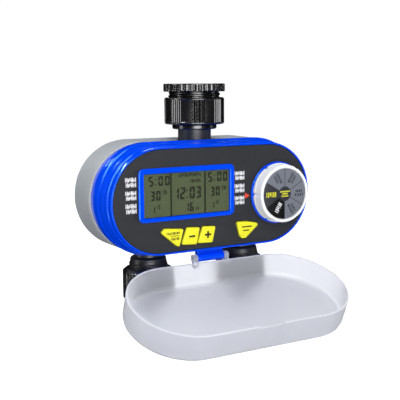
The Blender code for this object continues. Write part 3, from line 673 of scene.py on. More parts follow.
tools += [(box("t_web", (HX - 9.4, 4.9, -37.6), (HX + 9.4, 8.4, -32.6), BLUE, 0.5), "UNION"),
          (rod("t_barrel", (HX - 9.4, HINGE[0], HINGE[1]), "X", 18.8, BARREL_R, BLUE, 48, 0.35), "UNION"),
          (rod("t_pin", (-20, HINGE[0], HINGE[1]), "X", 40, 1.2, None, 24), "DIFFERENCE"),
          (rod("t_inlet", (0, AXIS_Y, 20), "Z", 30, 10.9, None, 64), "DIFFERENCE")]
tools += [(rod(f"t_outlet_{s}", (s * OUT_X, AXIS_Y, -50), "Z", 28, 9.35, None, 64), "DIFFERENCE") for s in (-1, 1)]
tools += [(rod(f"t_screw_{k}", (x, 12.0, z), "Y", 20, 1.6, None, 16), "DIFFERENCE") for k, (x, z) in enumerate(SCREWS)]
combine(front, *tools, sharp=32)
put(front, "housing", "blue_shell", "front_housing")

# ------------------------------------------------------------------ rear housing (grey)
rear = loft(
    "rear_shell",
    arcs([(29.8, BACK_Y - 2.8), (31.4, BACK_Y - 4.3), (31.4, REAR_START, 0.2), (34.6, REAR_START, 0.35), (34.75, 33.0),
          (34.95, BACK_Y - 3.5, 2.0), (34.5, BACK_Y - 0.8, 1.3), (32.8, BACK_Y, 1.0), (31.0, BACK_Y)], 4, closed=False),
    GREY)
tools = [(rod(f"t_rboss_{k}", (x, REAR_START, z), "Y", BACK_Y - 0.7 - REAR_START, 4.3, GREY, 24), "UNION") for k, (x, z) in enumerate(SCREWS)]
tools += [(rod("t_inlet", (0, AXIS_Y, 20), "Z", 30, 10.9, None, 64), "DIFFERENCE")]
tools += [(rod(f"t_outlet_{s}", (s * OUT_X, AXIS_Y, -50), "Z", 28, 9.35, None, 64), "DIFFERENCE") for s in (-1, 1)]
tools += [(rod(f"t_rscrew_{k}", (x, 20, z), "Y", 20, 1.6, None, 16), "DIFFERENCE") for k, (x, z) in enumerate(SCREWS)]
tools += [(rod(f"t_rrecess_{k}", (x, 34, z), "Y", 20, 3.3, None, 32), "DIFFERENCE") for k, (x, z) in enumerate(SCREWS)]
tools += [(slab("t_door_recess", [rectangle(-19.0, 19.0, -30.2, 30.2, 4.0)], BACK_Y - 1.5, 58, GREY), "DIFFERENCE"),
          (slab("t_door_open", [rectangle(-17.0, 17.0, -28.2, 28.2, 3.0)], 46, BACK_Y, GREY), "DIFFERENCE")]
for side in (-1, 1):
    tools.append((slab(f"t_panel_{side}", [rectangle(*sorted((side * 23.5, side * 46.5)), -16.0, 16.0, 3.0)], BACK_Y - 0.45, 58, GREY), "DIFFERENCE"))
combine(rear, *tools, sharp=32)
put(rear, "housing", "grey_shell", "rear_housing")


# ------------------------------------------------------------------ seals between the halves
def seal(name, keep_low, keep_high, cut=None):
    ring_ = loft(name, arcs([(31.7, FRONT_END + 0.3, 0.2), (34.25, FRONT_END + 0.3, 0.3), (34.25, REAR_START - 0.3, 0.3), (31.7, REAR_START - 0.3, 0.2)], 2),
                 SEAL, ring=True)
    todo = [(box(name + "_keep", keep_low, keep_high, SEAL), "INTERSECT")]
    if cut:
        todo.append((box(name + "_cut", *cut, SEAL), "DIFFERENCE"))
    return combine(ring_, *todo)


put(seal("left_gasket", (-80, 20, -40), (-11.4, 35, 40), ((-44.1, 19, -41), (-10, 36, -20))), "housing", "seal_rubber", "left_seal")
put(seal("right_gasket", (11.4, 20, -40), (80, 35, 40), ((10, 19, -41), (44.1, 36, -20))), "housing", "seal_rubber", "right_seal")
put(seal("bottom_gasket", (-24.7, 20, -40), (24.7, 35, -20)), "housing", "seal_rubber", "bottom_seal")

# ------------------------------------------------------------------ faceplate, display and keys
KEYS = {
    "clear": [(-39.3, -18.7), (-36.6, -16.4), (-23.5, -17.6), (-26.3, -27.9), (-27.3, -28.1), (-28.8, -27.4)],
    "minus": [(-21.3, -17.0), (-12.1, -17.6), (-14.4, -28.1), (-25.0, -27.3)],
    "plus": [(-10.1, -17.3), (-0.8, -17.9), (-3.2, -27.9), (-13.7, -27.5)],
    "manual": [(14.4, -16.7), (22.3, -17.0), (30.3, -18.6), (30.6, -20.2), (21.4, -27.6), (18.7, -27.6), (16.7, -25.6)]}
BEZEL = (-53.5, 12.75, -11.73, 20.40)
WINDOW = (-49.9, 9.56, -9.3, 17.15)
plate = slab(
    "front_plate",
    [stadium(31.18, 48), rectangle(BEZEL[0] + 0.6, BEZEL[1] - 0.6, BEZEL[2] + 0.6, BEZEL[3] - 0.6, 2.4), circle(DIAL_X, 0, 18.0)]
    + [arcs([(*p, 1.3) for p in offset_outline(key, 0.3)], 4) for key in KEYS.values()],
    0.0, 2.2, FACE, edge=0.15)
put(plate, "housing", "face_plastic", "faceplate")


def frame_ring(name, outer, inner, ro, ri, profile, mat, body_steps=6):
    """A rectangular frame whose cross-section is profile: (share from inner to outer, y)."""
    n = 4 * (body_steps + 1)
    big, small = rectangle(*outer, ro, body_steps), rectangle(*inner, ri, body_steps)
    verts, rows = [], []
    for s, y in profile:
        row = []
        for (ax, az), (bx, bz) in zip(small, big):
            row.append(len(verts))
            verts.append((ax + (bx - ax) * s, y, az + (bz - az) * s))
        rows.append(row)
    faces = []
    for p, q in zip(rows, rows[1:] + rows[:1]):
        for j in range(n):
            i = (j + 1) % n
            faces.append((p[j], p[i], q[i], q[j]))
    return build(name, verts, faces, mat)


bezel = frame_ring("display_frame", BEZEL, WINDOW, 3.4, 1.0,
                   arcs([(0.0, 2.3), (0.0, -0.75, 0.25), (0.18, -1.2, 0.3), (0.86, -1.2, 0.4), (1.0, -0.75, 0.2), (1.0, -0.3), (0.76, -0.3), (0.76, 2.3)], 3),
                   BLUE)
put(bezel, "housing", "blue_shell", "lcd_bezel")
lens = slab("display_lens", [rectangle(WINDOW[0] + 0.3, WINDOW[1] - 0.3, WINDOW[2] + 0.3, WINDOW[3] - 0.3, 1.0)], -0.78, -0.25, LENS, edge=0.1)
put(lens, "housing", "lens_clear", "lcd_window")
display = slab("display_panel", [rectangle(-51.5, 11.4, -11.0, 19.4, 0.8)], 2.8, 5.2, LCD, edge=0.15)
combine(display, (slab("t_glass", [rectangle(WINDOW[0] + 0.3, WINDOW[1] - 0.3, WINDOW[2] + 0.3, WINDOW[3] - 0.3, 1.0)], 0.2, 3.6, LCD), "UNION"))
put(display, "housing", "lcd_glass", "lcd_module")

# the lit segments: bars that stand 0.1 mm off the display's film
ink = []


def bar(x0, z0, x1, z1):
    ink.append([(x0, z0), (x1, z0), (x1, z1), (x0, z1)])


SEGMENTS = {"0": "abcdef", "1": "bc", "2": "abged", "3": "abgcd", "5": "afgcd", "6": "afgedc"}


def digit(ch, x, z, w, h, t):
    """x, z is the lower left corner. The segments meet at mitred corners, a hair apart."""
    g, m = 0.09, z + h / 2
    shapes = {
        "a": [(x + g, z + h), (x + t + g, z + h - t), (x + w - t - g, z + h - t), (x + w - g, z + h)],
        "d": [(x + g, z), (x + w - g, z), (x + w - t - g, z + t), (x + t + g, z + t)],
        "g": [(x + t * 0.55, m), (x + t, m - t / 2), (x + w - t, m - t / 2), (x + w - t * 0.55, m), (x + w - t, m + t / 2), (x + t, m + t / 2)],
        "f": [(x, z + h - g), (x, m + g + 0.05), (x + t * 0.4, m + g), (x + t, m + t / 2 + g), (x + t, z + h - t - g)],
        "e": [(x, z + g), (x + t, z + t + g), (x + t, m - t / 2 - g), (x + t * 0.4, m - g), (x, m - g - 0.05)],
        "b": [(x + w, z + h - g), (x + w - t, z + h - t - g), (x + w - t, m + t / 2 + g), (x + w - t * 0.4, m + g), (x + w, m + g + 0.05)],
        "c": [(x + w, z + g), (x + w, m - g - 0.05), (x + w - t * 0.4, m - g), (x + w - t, m - t / 2 - g), (x + w - t, z + t + g)]}
    ink.extend(shapes[k] for k in SEGMENTS[ch])


def ticks(x0, x1, z0, z1, count, fill=0.55):
    """A row of plain bars in place of a printed word."""
    step = (x1 - x0) / count
    for i in range(count):
        w = step * fill * (1.0 if i % 3 else 0.7)
        top = z1 - (0.22 * (z1 - z0) if i % 4 == 2 else 0)
        low = z0 + (0.22 * (z1 - z0) if i % 5 == 3 else 0)
        bar(x0 + i * step, low, x0 + i * step + w, top)


def clock(x5, xc, x0a, x0b, w, z, h, t=1.1):
    digit("5", x5, z, w, h, t)
    bar(xc - 0.4, z + 0.62 * h, xc + 0.4, z + 0.62 * h + 0.8)
    bar(xc - 0.4, z + 0.12 * h, xc + 0.4, z + 0.12 * h + 0.8)
    digit("0", x0a, z, w, h, t)
    digit("0", x0b, z, w, h, t)


clock(-45.9, -41.3, -39.5, -35.0, 3.1, 9.7, 5.8)
digit("3", -44.9, 1.0, 2.9, 5.8, 1.1)
digit("0", -41.0, 1.0, 2.9, 5.8, 1.1)
ticks(-36.4, -33.5, 4.4, 7.1, 3, 0.6)
digit("1", -44.4, -6.6, 2.6, 4.2, 0.9)
ticks(-40.2, -38.0, -4.5, -1.6, 2, 0.5)

ticks(-25.6, -9.9, 14.1, 16.3, 15, 0.6)
ticks(-17.4, -9.9, 10.3, 12.4, 7, 0.6)
digit("1", -28.4, 0.6, 2.9, 7.2, 1.25)
digit("2", -24.7, 0.6, 3.6, 7.2, 1.25)
bar(-20.4, 5.4, -19.5, 6.3)
bar(-20.4, 1.1, -19.5, 2.0)
digit("0", -18.1, 0.6, 3.5, 7.2, 1.25)
digit("3", -13.7, 0.6, 3.5, 7.2, 1.25)
digit("1", -21.3, -7.3, 2.7, 5.5, 1.0)
digit("6", -18.0, -7.3, 2.7, 5.5, 1.05)
ticks(-13.7, -11.3, -6.9, -4.7, 2, 0.5)
clock(-5.6, -0.9, 1.0, 5.3, 3.1, 10.0, 5.8)
digit("3", -3.9, 1.0, 2.9, 5.8, 1.1)
digit("0", 0.0, 1.0, 2.9, 5.8, 1.1)
ticks(4.9, 7.8, 4.5, 7.3, 3, 0.6)
digit("1", -3.6, -6.7, 2.6, 4.2, 0.9)
ticks(0.4, 2.6, -4.5, -1.7, 2, 0.5)
ink = [[(px + (-0.45 if px < -31.2 else -0.6 if px < -8.2 else -0.2), pz) for px, pz in loop] for loop in ink]
bar(-32.0, -8.9, -30.9, 16.7)
bar(-8.45, -8.9, -7.35, 16.7)
put(slab("display_segments", ink, 0.08, 0.17, LCD_INK), "housing", "lcd_glass")


# ------------------------------------------------------------------ printed marks on the faceplate
ink = []
for x0, x1, z1, z0 in ((-61.6, -54.4, 15.7, 10.1), (-61.6, -54.4, 7.75, 2.45), (-61.6, -54.4, 0.2, -5.5),
                       (13.6, 20.9, 15.3, 9.9), (13.6, 20.9, 7.3, 1.9), (13.6, 20.9, -0.4, -5.7)):
    mid = (z0 + z1) / 2
    n = 8
    ticks(x0, x1, mid + 0.22, z1, n, 0.74)
    ticks(x0 + 0.4, x1, z0, mid - 0.22, n, 0.74)
    bar(x0 + 0.3, mid + 1.15, x1 - 0.6, mid + 1.45)
    bar(x0 + 0.6, mid - 1.65, x1 - 0.2, mid - 1.35)
# bars that cross are built one above the other, so that no outline overlaps another
put(slab("face_marks", [l for l in ink if abs(l[0][1] - l[2][1]) > 0.5], -0.04, -0.005, PRINT), "housing", "face_plastic")
put(slab("face_mark_lines", [l for l in ink if abs(l[0][1] - l[2][1]) <= 0.5], -0.075, -0.045, PRINT), "housing", "face_plastic")
put(slab("dial_pointer", [arcs([(21.2, 1.35, 0.15), (24.8, -0.6, 0.15), (21.2, -2.4, 0.15)], 2)], -0.05, -0.005, RED), "housing", "face_plastic")


# ------------------------------------------------------------------ keys: crowned rubber with a rounded edge
def key(name, outline, body, node, mat=YELLOW):
    base = arcs([(*p, 1.0) for p in outline], 5)
    area_ = sum(a[0] * b[1] - b[0] * a[1] for a, b in zip(base, base[1:] + base[:1]))
    if area_ < 0:
        base = base[::-1]
    n = len(base)
    cx, cz = sum(p[0] for p in base) / n, sum(p[1] for p in base) / n
    normals = []
    for i in range(n):
        ax, az = base[i - 1]
        bx, bz = base[(i + 1) % n]
        dx, dz = bx - ax, bz - az
        size = math.hypot(dx, dz) or 1
        normals.append((dz / size, -dx / size))
    rings = [(0.0, 3.4, 1), (0.0, -0.35, 1), (0.06, -0.62, 1), (0.2, -0.8, 1), (0.42, -0.88, 1)]
    verts, rows = [], []
    for inset, y, _ in rings:
        row = []
        for (x, z), (nx, nz) in zip(base, normals):
            row.append(len(verts))
            verts.append((x - nx * inset, y, z - nz * inset))
        rows.append(row)
    inner = [(x - nx * 0.42, z - nz * 0.42) for (x, z), (nx, nz) in zip(base, normals)]
    for s, y in ((0.75, -0.97), (0.5, -1.02), (0.25, -1.05)):
        row = []
        for x, z in inner:
            row.append(len(verts))
            verts.append((cx + (x - cx) * s, y, cz + (z - cz) * s))
        rows.append(row)
    faces = [tuple(reversed(rows[0]))]
    for p, q in zip(rows, rows[1:]):
        for j in range(n):
            i = (j + 1) % n
            faces.append((p[j], p[i], q[i], q[j]))
    top = len(verts)
    verts.append((cx, -1.06, cz))
    for j in range(n):
        faces.append((rows[-1][j], rows[-1][(j + 1) % n], top))
    obj = build(name, verts, faces, mat, 50)
    return put(obj, body, "yellow_rubber", node)


for word, outline in KEYS.items():
    key(f"{word}_key_cap", outline, f"{word}_key", f"{word}_button")
ink = []
ticks(-35.4, -26.2, -20.4, -18.9, 9, 0.6)
bar(-32.7, -21.45, -26.9, -21.15)
ticks(-32.2, -26.6, -23.9, -22.3, 6, 0.6)
put(slab("clear_key_marks", ink, -1.13, -1.07, MARK), "clear_key", "yellow_rubber")
ink = []
bar(-20.0, -23.2, -15.8, -22.1)
put(slab("minus_key_mark", ink, -1.13, -1.07, MARK), "minus_key", "yellow_rubber")
a, t = 2.15, 0.6
px, pz = -6.6, -22.6
put(slab("plus_key_mark", [[(px - a, pz - t), (px - t, pz - t), (px - t, pz - a), (px + t, pz - a), (px + t, pz - t), (px + a, pz - t),
                            (px + a, pz + t), (px + t, pz + t), (px + t, pz + a), (px - t, pz + a), (px - t, pz + t), (px - a, pz + t)]],
         -1.13, -1.07, MARK), "plus_key", "yellow_rubber")
ink = []
bar(18.4, -20.6, 25.6, -19.9)
bar(19.3, -22.9, 23.7, -22.2)
put(slab("manual_key_marks", ink, -1.13, -1.07, MARK), "manual_key", "yellow_rubber")

# ------------------------------------------------------------------ dial
seat = lathe("dial_seat", arcs([(15.6, -2.6, 0.2), (17.6, -2.6, 0.2), (17.6, 0.3, 0.1), (20.03, 0.3, 0.15), (20.03, 0.75, 0.3), (19.5, 1.15, 0.3),
                                (17.2, 1.1, 0.2), (16.8, 0.3, 0.1), (15.6, 0.3, 0.1)], 3),
             (DIAL_X, 0, 0), "Y", BLUE, 128, ring=True)
put(seat, "housing", "blue_shell", "dial_seat_ring")


def grip(a, r, h):
    """Six shallow grooves down the knob's wall, deeper at the skirt."""
    if r < 17.9 or h < 1.4:
        return 0.0
    off = abs((a + PI / 6) % (PI / 3) - PI / 6)
    width = 0.75 / 18.6
    if off > width * 1.6:
        return 0.0
    s = 1.0 if off < width else (1.6 - off / width) / 0.6
    return -s * (0.75 if h < 3.3 else 0.28)


knob = lathe("dial_grip", arcs([(0, 8.6), (16.45, 8.6, 0.1), (16.5, 9.5, 0.25), (18.0, 9.5, 0.5), (18.42, 8.9, 0.5), (18.65, 3.6, 0.3), (19.1, 3.0, 0.3), (19.1, 1.5, 0.2),
                                (17.3, 1.5, 0.2), (17.3, 7.1, 0.3), (5.0, 7.1, 0.3), (5.0, 1.7, 0.2), (3.3, 1.7, 0.2), (3.3, 6.3), (0, 6.3)], 4, closed=False),
             (DIAL_X, 0, 0), "Y", KNOB, 288, shape=grip, sharp=30)
put(knob, "dial", "knob_plastic", "dial_knob")


def sector(k, a):
    """Six sectors: mid grey, with the pointer's dark one at 180 degrees and a black one at 240."""
    deg = math.degrees(a) % 360
    if 150 <= deg < 210:
        return 1
    if 210 <= deg < 270:
        return 2
    return 0


label = lathe("dial_disc", arcs([(0, 9.3), (8.0, 9.3), (16.1, 9.3, 0.12), (16.1, 8.9, 0.1), (0, 8.9)], 2, closed=False),
              (DIAL_X, 0, 0), "Y", [LABEL_GREY, LABEL_DARK, LABEL_BLACK], 240, mat_of=sector)
put(label, "dial", "label_print", "dial_label")
put(lathe("dial_centre", arcs([(0, 9.40), (4.7, 9.40, 0.04), (4.74, 9.31), (0, 9.31)], 2, closed=False), (DIAL_X, 0, 0), "Y", LABEL_DARK, 64), "dial", "label_print")


def polar(theta, u0, u1, v0, v1):
    """A bar in a sector: u runs from the rim to the centre (radius), v across."""
    c, s = math.cos(theta), math.sin(theta)
    pts = []
    for u, v in ((u0, v0), (u1, v0), (u1, v1), (u0, v1)):
        pts.append((DIAL_X + u * c - v * s, u * s + v * c))
    return pts


lines = [polar(math.radians(d), 4.9, 16.0, -0.17, 0.17) for d in (-30, 30, 90)]
put(slab("dial_lines", lines, -9.36, -9.31, LABEL_LINE), "dial", "label_print")


def radial_word(deg, r0, r1, v0, v1, count, fill=0.62):
    t = math.radians(deg)
    step = (r0 - r1) / count
    return [polar(t, r0 - i * step, r0 - i * step - step * fill * (1 if i % 3 else 0.7), v0, v1 - (0.25 * (v1 - v0) if i % 4 == 2 else 0)) for i in range(count)]


dark = []
for deg, rows in ((120, ((14.0, 8.4, 0.3, 2.1, 4), (14.6, 7.0, -2.1, -0.3, 6))), (60, ((14.4, 7.2, 0.3, 2.1, 6), (13.6, 8.0, -2.1, -0.3, 5))),
                  (0, ((13.4, 7.8, 0.3, 2.1, 4), (14.2, 7.2, -2.1, -0.3, 5))), (-60, ((13.6, 7.8, 0.3, 2.1, 4), (14.6, 7.0, -2.1, -0.3, 6)))):
    for r0, r1, v0, v1, n in rows:
        dark += radial_word(deg, r0, r1, v0, v1, n)
put(slab("dial_marks_dark", dark, -9.36, -9.31, LABEL_LINE), "dial", "label_print")
put(slab("dial_marks_yellow", radial_word(180, 14.2, 6.4, -1.6, 1.6, 6, 0.6)
         + [[(DIAL_X - 3.6 + 1.3 * i, z), (DIAL_X - 2.7 + 1.3 * i, z), (DIAL_X - 2.7 + 1.3 * i, z + 0.9), (DIAL_X - 3.6 + 1.3 * i, z + 0.9)]
            for z in (1.0,) for i in range(6)], -9.47, -9.41, LABEL_YELLOW), "dial", "label_print")
put(slab("dial_centre_marks", [[(DIAL_X - w + 1.1 * i, z), (DIAL_X - w + 0.8 + 1.1 * i, z), (DIAL_X - w + 0.8 + 1.1 * i, z + 0.85), (DIAL_X - w + 1.1 * i, z + 0.85)]
                               for z, w, n in ((-0.4, 2.1, 4), (-1.9, 2.7, 5)) for i in range(n)], -9.47, -9.41, LABEL_YELLOW), "dial", "label_print")
put(slab("dial_marks_white", radial_word(240, 13.2, 6.2, -1.5, 1.5, 6, 0.6), -9.36, -9.31, PRINT), "dial", "label_print")


# ------------------------------------------------------------------ cover: a frosted tray, swung open about its hinge
def swing(x, y, z):
    c, s = math.cos(OPEN), math.sin(OPEN)
    dy, dz = y - HINGE[0], z - HINGE[1]
    return (x, HINGE[0] + dy * c - dz * s, HINGE[1] + dy * s + dz * c)


COVER_R, COVER_IN, BASE = 34.75, 33.45, -14.0
profile = arcs([(29.6, BASE + 1.25, 1.0), (32.0, BASE + 1.6, 1.4), (32.9, BASE + 3.0, 1.4), (COVER_IN, BASE + 4.7, 1.0), (COVER_IN, 4.3, 0.18), (COVER_R, 4.3, 0.3),
                (COVER_R, BASE + 4.1, 1.2), (34.15, BASE + 2.0, 1.6), (32.7, BASE + 0.4, 1.6), (30.4, BASE, 1.2)], 5, closed=False)
profile = [(20.0, BASE + 1.2), *profile, (20.0, BASE)]
# the rim's profile rows, whose faces take the whiter copy with the painted highlight
rim = [k for k, (r, y) in enumerate(profile) if y > 3.95]


wall = [k for k, (r, y) in enumerate(profile) if r > 32.0 and BASE + 2.4 < y]
# floor faces take the darker copy (painted shade), rim faces the whiter copy (painted highlight), wall faces the plain
# cover plastic
tray = loft("clear_tray", profile, [COVER_FLOOR_SHADED, COVER_RIM_LIT, COVER], steps=48, place=swing, sharp=50,
            mat_of=lambda k: 1 if k in rim and k + 1 in rim else 2 if k in wall else 0)
tools = []
for side in (-1, 1):
    low, high = sorted((HX + side * 9.75, HX + side * 12.75))
    web = box(f"t_earweb_{side}", (low, 0.6, -37.8), (high, 4.2, -34.3), COVER)
    for v in web.data.vertices:
        co = v.co / MM + Vector((0, AXIS_Y, INLET_TOP))
        v.co = Vector(W(*swing(*co)))
    tools.append((web, "UNION"))
    tools.append((rod(f"t_eye_{side}", (low, HINGE[0], HINGE[1]), "X", 3.0, BARREL_R, COVER, 48, 0.3, place=swing), "UNION"))
tools.append((rod("t_earhole", (-20, HINGE[0], HINGE[1]), "X", 40, 1.25, COVER, 32, place=swing), "DIFFERENCE"))
notch = slab("t_notch", [arcs([(-8.6, 30), (8.6, 30), (8.6, 40), (-8.6, 40)], 2)], 3.3, 8.0, COVER)
for v in notch.data.vertices:
    co = v.co / MM + Vector((0, AXIS_Y, INLET_TOP))
    v.co = Vector(W(*swing(*co)))
tools.append((notch, "DIFFERENCE"))
combine(tray, *tools, keep_mats=True, sharp=50)
put(tray, "cover", "cover_clear", "cover")
pin = lathe("hinge_rod", arcs([(0, -12.6), (1.0, -12.6, 0.25), (1.0, 12.6, 0.25), (0, 12.6)], 3, closed=False), (0, 0, 0), "Z", STEEL, 32)
pin.data.transform(Matrix.Translation(W(HX, *HINGE)) @ Matrix.Rotation(PI / 2, 4, "Y") @ Matrix.Translation(-Vector(W(0, 0, 0))))
put(pin, "housing", "steel", "hinge_pin")


# ------------------------------------------------------------------ threads
def thread_rows(h0, h1, r, pitch, per=8):
    n = max(2, int(abs(h1 - h0) / pitch * per))
    return [(r, h0 + (h1 - h0) * i / n) for i in range(n + 1)]


def thread_shape(h_low, h_high, r_root, depth, pitch, fade=0.8):
    """A helical ridge between two heights: adds to the root radius."""
    def shape(a, r, h):
        if abs(r - r_root) > 0.01 or not h_low - 1e-6 <= h <= h_high + 1e-6:
            return 0.0
        w = (h / pitch - a / TAU) % 1.0
        ridge = max(0.0, 1 - abs(w - 0.5) / 0.36)
        ridge = min(1.0, ridge * 1.6)
        edge = min(1.0, (h - h_low) / fade, (h_high - h) / fade)
        return depth * ridge * max(0.0, edge)
    return shape


# ------------------------------------------------------------------ valve manifold: neck, cross tube and outlet tubes
PITCH = 1.814
neck = lathe("water_manifold",
             arcs([(0, 30.3), (10.58, 30.3, 0.2), (10.58, 47.8, 0.2), (15.4, 47.8, 0.2), (15.4, 49.6, 0.2), (0, 49.6)], 3, closed=False),
             (0, AXIS_Y, 0), "Z", VALVE, 96)
tools = [(rod("t_stub", (0, 24, 22), "Z", 9.5, 6.8, VALVE, 48), "UNION"), (rod("t_cross", (-OUT_X, 24, 22), "X", 2 * OUT_X, 6.4, VALVE, 48), "UNION")]
ROOT_R = 11.75
for side in (-1, 1):
    rows = thread_rows(-41.2, -59.0, ROOT_R, PITCH, 9)
    prof = arcs([(0, 29.0), (8.5, 29.0, 0.3), (8.5, -30.3), (9.0, -30.6), (9.0, -37.6, 0.5), (11.0, -38.2, 0.6), (11.45, -39.0, 0.5), (11.45, -40.2, 0.5), (ROOT_R, -41.0)], 3, closed=False)
    prof += rows + [(ROOT_R, -59.3), (ROOT_R - 0.3, -59.5), (0, -59.5)]
    tools.append((lathe(f"t_tube_{side}", prof, (side * OUT_X, AXIS_Y, 0), "Z", VALVE, 72, shape=thread_shape(-59.0, -41.2, ROOT_R, 0.55, PITCH)), "UNION"))
tools += [(rod("t_neckbore", (0, AXIS_Y, 32.0), "Z", 30, 8.0, None, 48), "DIFFERENCE"),
          (rod("t_stubbore", (0, 24, 22), "Z", 12, 4.9, None, 32), "DIFFERENCE"),
          (rod("t_crossbore", (-OUT_X, 24, 22), "X", 2 * OUT_X, 4.5, None, 32), "DIFFERENCE")]
for side in (-1, 1):
    tools.append((rod(f"t_outbore_{side}", (side * OUT_X, AXIS_Y, -65), "Z", 91.0, 6.6, None, 48), "DIFFERENCE"))
    tools.append((rod(f"t_stembore_{side}", (side * OUT_X, 10, 0), "Y", AXIS_Y - 10, 2.35, None, 32), "DIFFERENCE"))
combine(neck, *tools, sharp=35)
put(neck, "housing", "valve_plastic", "valve_manifold")

# ------------------------------------------------------------------ inlet
collar = lathe("swivel_ring", arcs([(10.9, 41.4, 0.2), (13.6, 41.4, 0.5), (14.2, 42.0, 0.4), (14.2, 44.2, 0.3), (10.9, 44.2, 0.2)], 3), (0, AXIS_Y, 0), "Z", BLACK, 96, ring=True)
put(collar, "housing", "black_plastic", "swivel_collar")

RIB_GROUPS = 8
RIB_TURN = math.radians(23.3)


def nut_ribs(a, r, h):
    """Groups of five upright ribs, with smooth fields between them."""
    if r < 18.3 or not 45.9 <= h <= 60.1:
        return 0.0
    sweep = TAU / RIB_GROUPS
    off = (a - RIB_TURN + sweep * 0.5) % sweep - sweep / 2
    span = sweep * 0.27
    if abs(off) > span:
        return -0.3 if h < 59.8 and h > 46.2 else 0.0
    w = (off + span) / (2 * span) * 5
    wave = max(0.0, math.sin(PI * (w % 1.0)))
    return -0.95 + 1.03 * wave ** 0.8


nut = lathe("swivel_nut_shell",
            arcs([(10.95, 44.5, 0.2), (18.2, 44.5, 0.3), (19.1, 45.2, 0.2), (19.1, 45.55, 0.1)], 3, closed=False)
            + [(19.02, 45.95), (19.02, 46.4)] + [(19.02, 46.4 + 13.2 * i / 8) for i in range(1, 9)] + [(19.02, 60.05)]
            + arcs([(19.1, 60.2, 0.1), (19.1, 60.6, 0.2), (18.2, 61.33, 0.3), (16.95, 61.33, 0.15), (16.95, 47.45, 0.2), (10.95, 47.45, 0.1)], 3, closed=False),
            (0, AXIS_Y, 0), "Z", BLACK, 560, ring=True, shape=nut_ribs, sharp=32)
put(nut, "swivel_nut", "black_plastic", "inlet_nut")


def knurl(a, r, h):
    """Upright ribs all round the adapter's flange."""
    if r < 19.3 or not 65.7 <= h <= 69.4:
        return 0.0
    wave = math.sin(a * 34) * 0.5 + 0.5
    return -0.6 * (1 - min(1.0, wave * 1.35))


A_ROOT = 15.85
adapter_prof = (arcs([(11.2, 53.1, 0.2), (A_ROOT - 0.3, 53.1, 0.2), (A_ROOT, 53.5)], 2, closed=False)
                + thread_rows(53.6, 64.9, A_ROOT, 2.309, 10)
                + [(A_ROOT, 65.0)]
                + arcs([(19.1, 65.0, 0.2), (19.6, 65.4, 0.15), (19.6, 65.75)], 2, closed=False)
                + [(19.6, 65.76 + 3.6 * i / 4) for i in range(5)]
                + arcs([(19.6, 69.45), (19.6, 69.7, 0.1), (19.1, 70.0, 0.2), (13.4, 70.0, 0.3), (12.2, 68.8)], 2, closed=False)
                + thread_rows(68.6, 55.7, 12.2, 1.814, 8)
                + [(12.2, 55.5), (11.2, 55.5)])


def adapter_shape(a, r, h):
    if abs(r - A_ROOT) < 0.01:
        return thread_shape(53.6, 64.9, A_ROOT, 0.72, 2.309)(a, r, h)
    if abs(r - 12.2) < 0.01:
        return thread_shape(55.7, 68.6, 12.2, 0.5, 1.814)(a, r, h)
    return knurl(a, r, h)


adapter = lathe("tap_adapter", adapter_prof, (0, AXIS_Y, 0), "Z", BLACK, 288, ring=True, shape=adapter_shape, sharp=34)
put(adapter, "adapter", "black_plastic", "inlet_adapter")
strainer = lathe("inlet_strainer", arcs([(0, 62.0), (4.6, 62.0, 0.2), (10.2, 52.8, 0.4), (15.1, 52.8, 0.15), (15.1, 52.0, 0.15), (9.4, 52.0, 0.3), (4.1, 61.4), (0, 61.4)], 3, closed=False),
                 (0, AXIS_Y, 0), "Z", FILTER, 72)
put(strainer, "housing", "filter_mesh", "inlet_filter")


# ------------------------------------------------------------------ outlet connectors
def connector_ribs(a, r, h):
    if r < 16.0 or not -63.4 <= h <= -47.0:
        return 0.0
    wave = math.sin(a * 30) * 0.5 + 0.5
    return -0.5 * (1 - min(1.0, wave * 1.5))


for side, word in ((-1, "left"), (1, "right")):
    at = (side * OUT_X, AXIS_Y, 0)
    prof = (arcs([(12.75, -44.9, 0.15), (14.2, -44.9, 0.4), (16.3, -46.6, 0.4), (16.3, -46.9)], 3, closed=False)
            + [(16.3, -47.05 - 16.3 * i / 6) for i in range(7)]
            + arcs([(16.3, -63.5), (16.3, -63.8, 0.2), (15.4, -64.8, 0.4), (7.9, -64.8, 0.3), (7.3, -65.4, 0.2), (7.3, -71.8, 0.15), (6.3, -71.8, 0.1), (6.3, -74.6, 0.1),
                    (7.3, -74.6, 0.15), (7.3, -78.2, 0.3), (6.6, -79.0, 0.25), (5.0, -79.0, 0.25), (5.0, -61.7, 0.1), (12.75, -61.7, 0.1)], 3, closed=False))
    obj = lathe(f"{word}_hose_connector", prof, at, "Z", BLACK, 240, ring=True, shape=connector_ribs, sharp=34)
    put(obj, f"{word}_connector", "black_plastic", f"{word}_outlet_connector")
    seal_ = lathe(f"{word}_spigot_ring", [(7.45 + 0.95 * math.cos(TAU * i / 16), -73.2 + 0.95 * math.sin(TAU * i / 16)) for i in range(16)], at, "Z", RUBBER, 72, ring=True, sharp=60)
    put(seal_, f"{word}_connector", "black_rubber", f"{word}_spigot_seal")
    ring_ = lathe(f"{word}_flat_washer", arcs([(7.2, -59.8, 0.2), (12.3, -59.8, 0.2), (12.3, -61.3, 0.2), (7.2, -61.3, 0.2)], 3), at, "Z", RUBBER, 72, ring=True)
    put(ring_, "housing", "black_rubber", f"{word}_outlet_washer")
washer = lathe("inlet_flat_washer", arcs([(8.4, 49.9, 0.3), (15.1, 49.9, 0.3), (15.1, 51.7, 0.3), (8.4, 51.7, 0.3)], 3), (0, AXIS_Y, 0), "Z", RUBBER, 72, ring=True)
put(washer, "housing", "black_rubber", "inlet_washer")

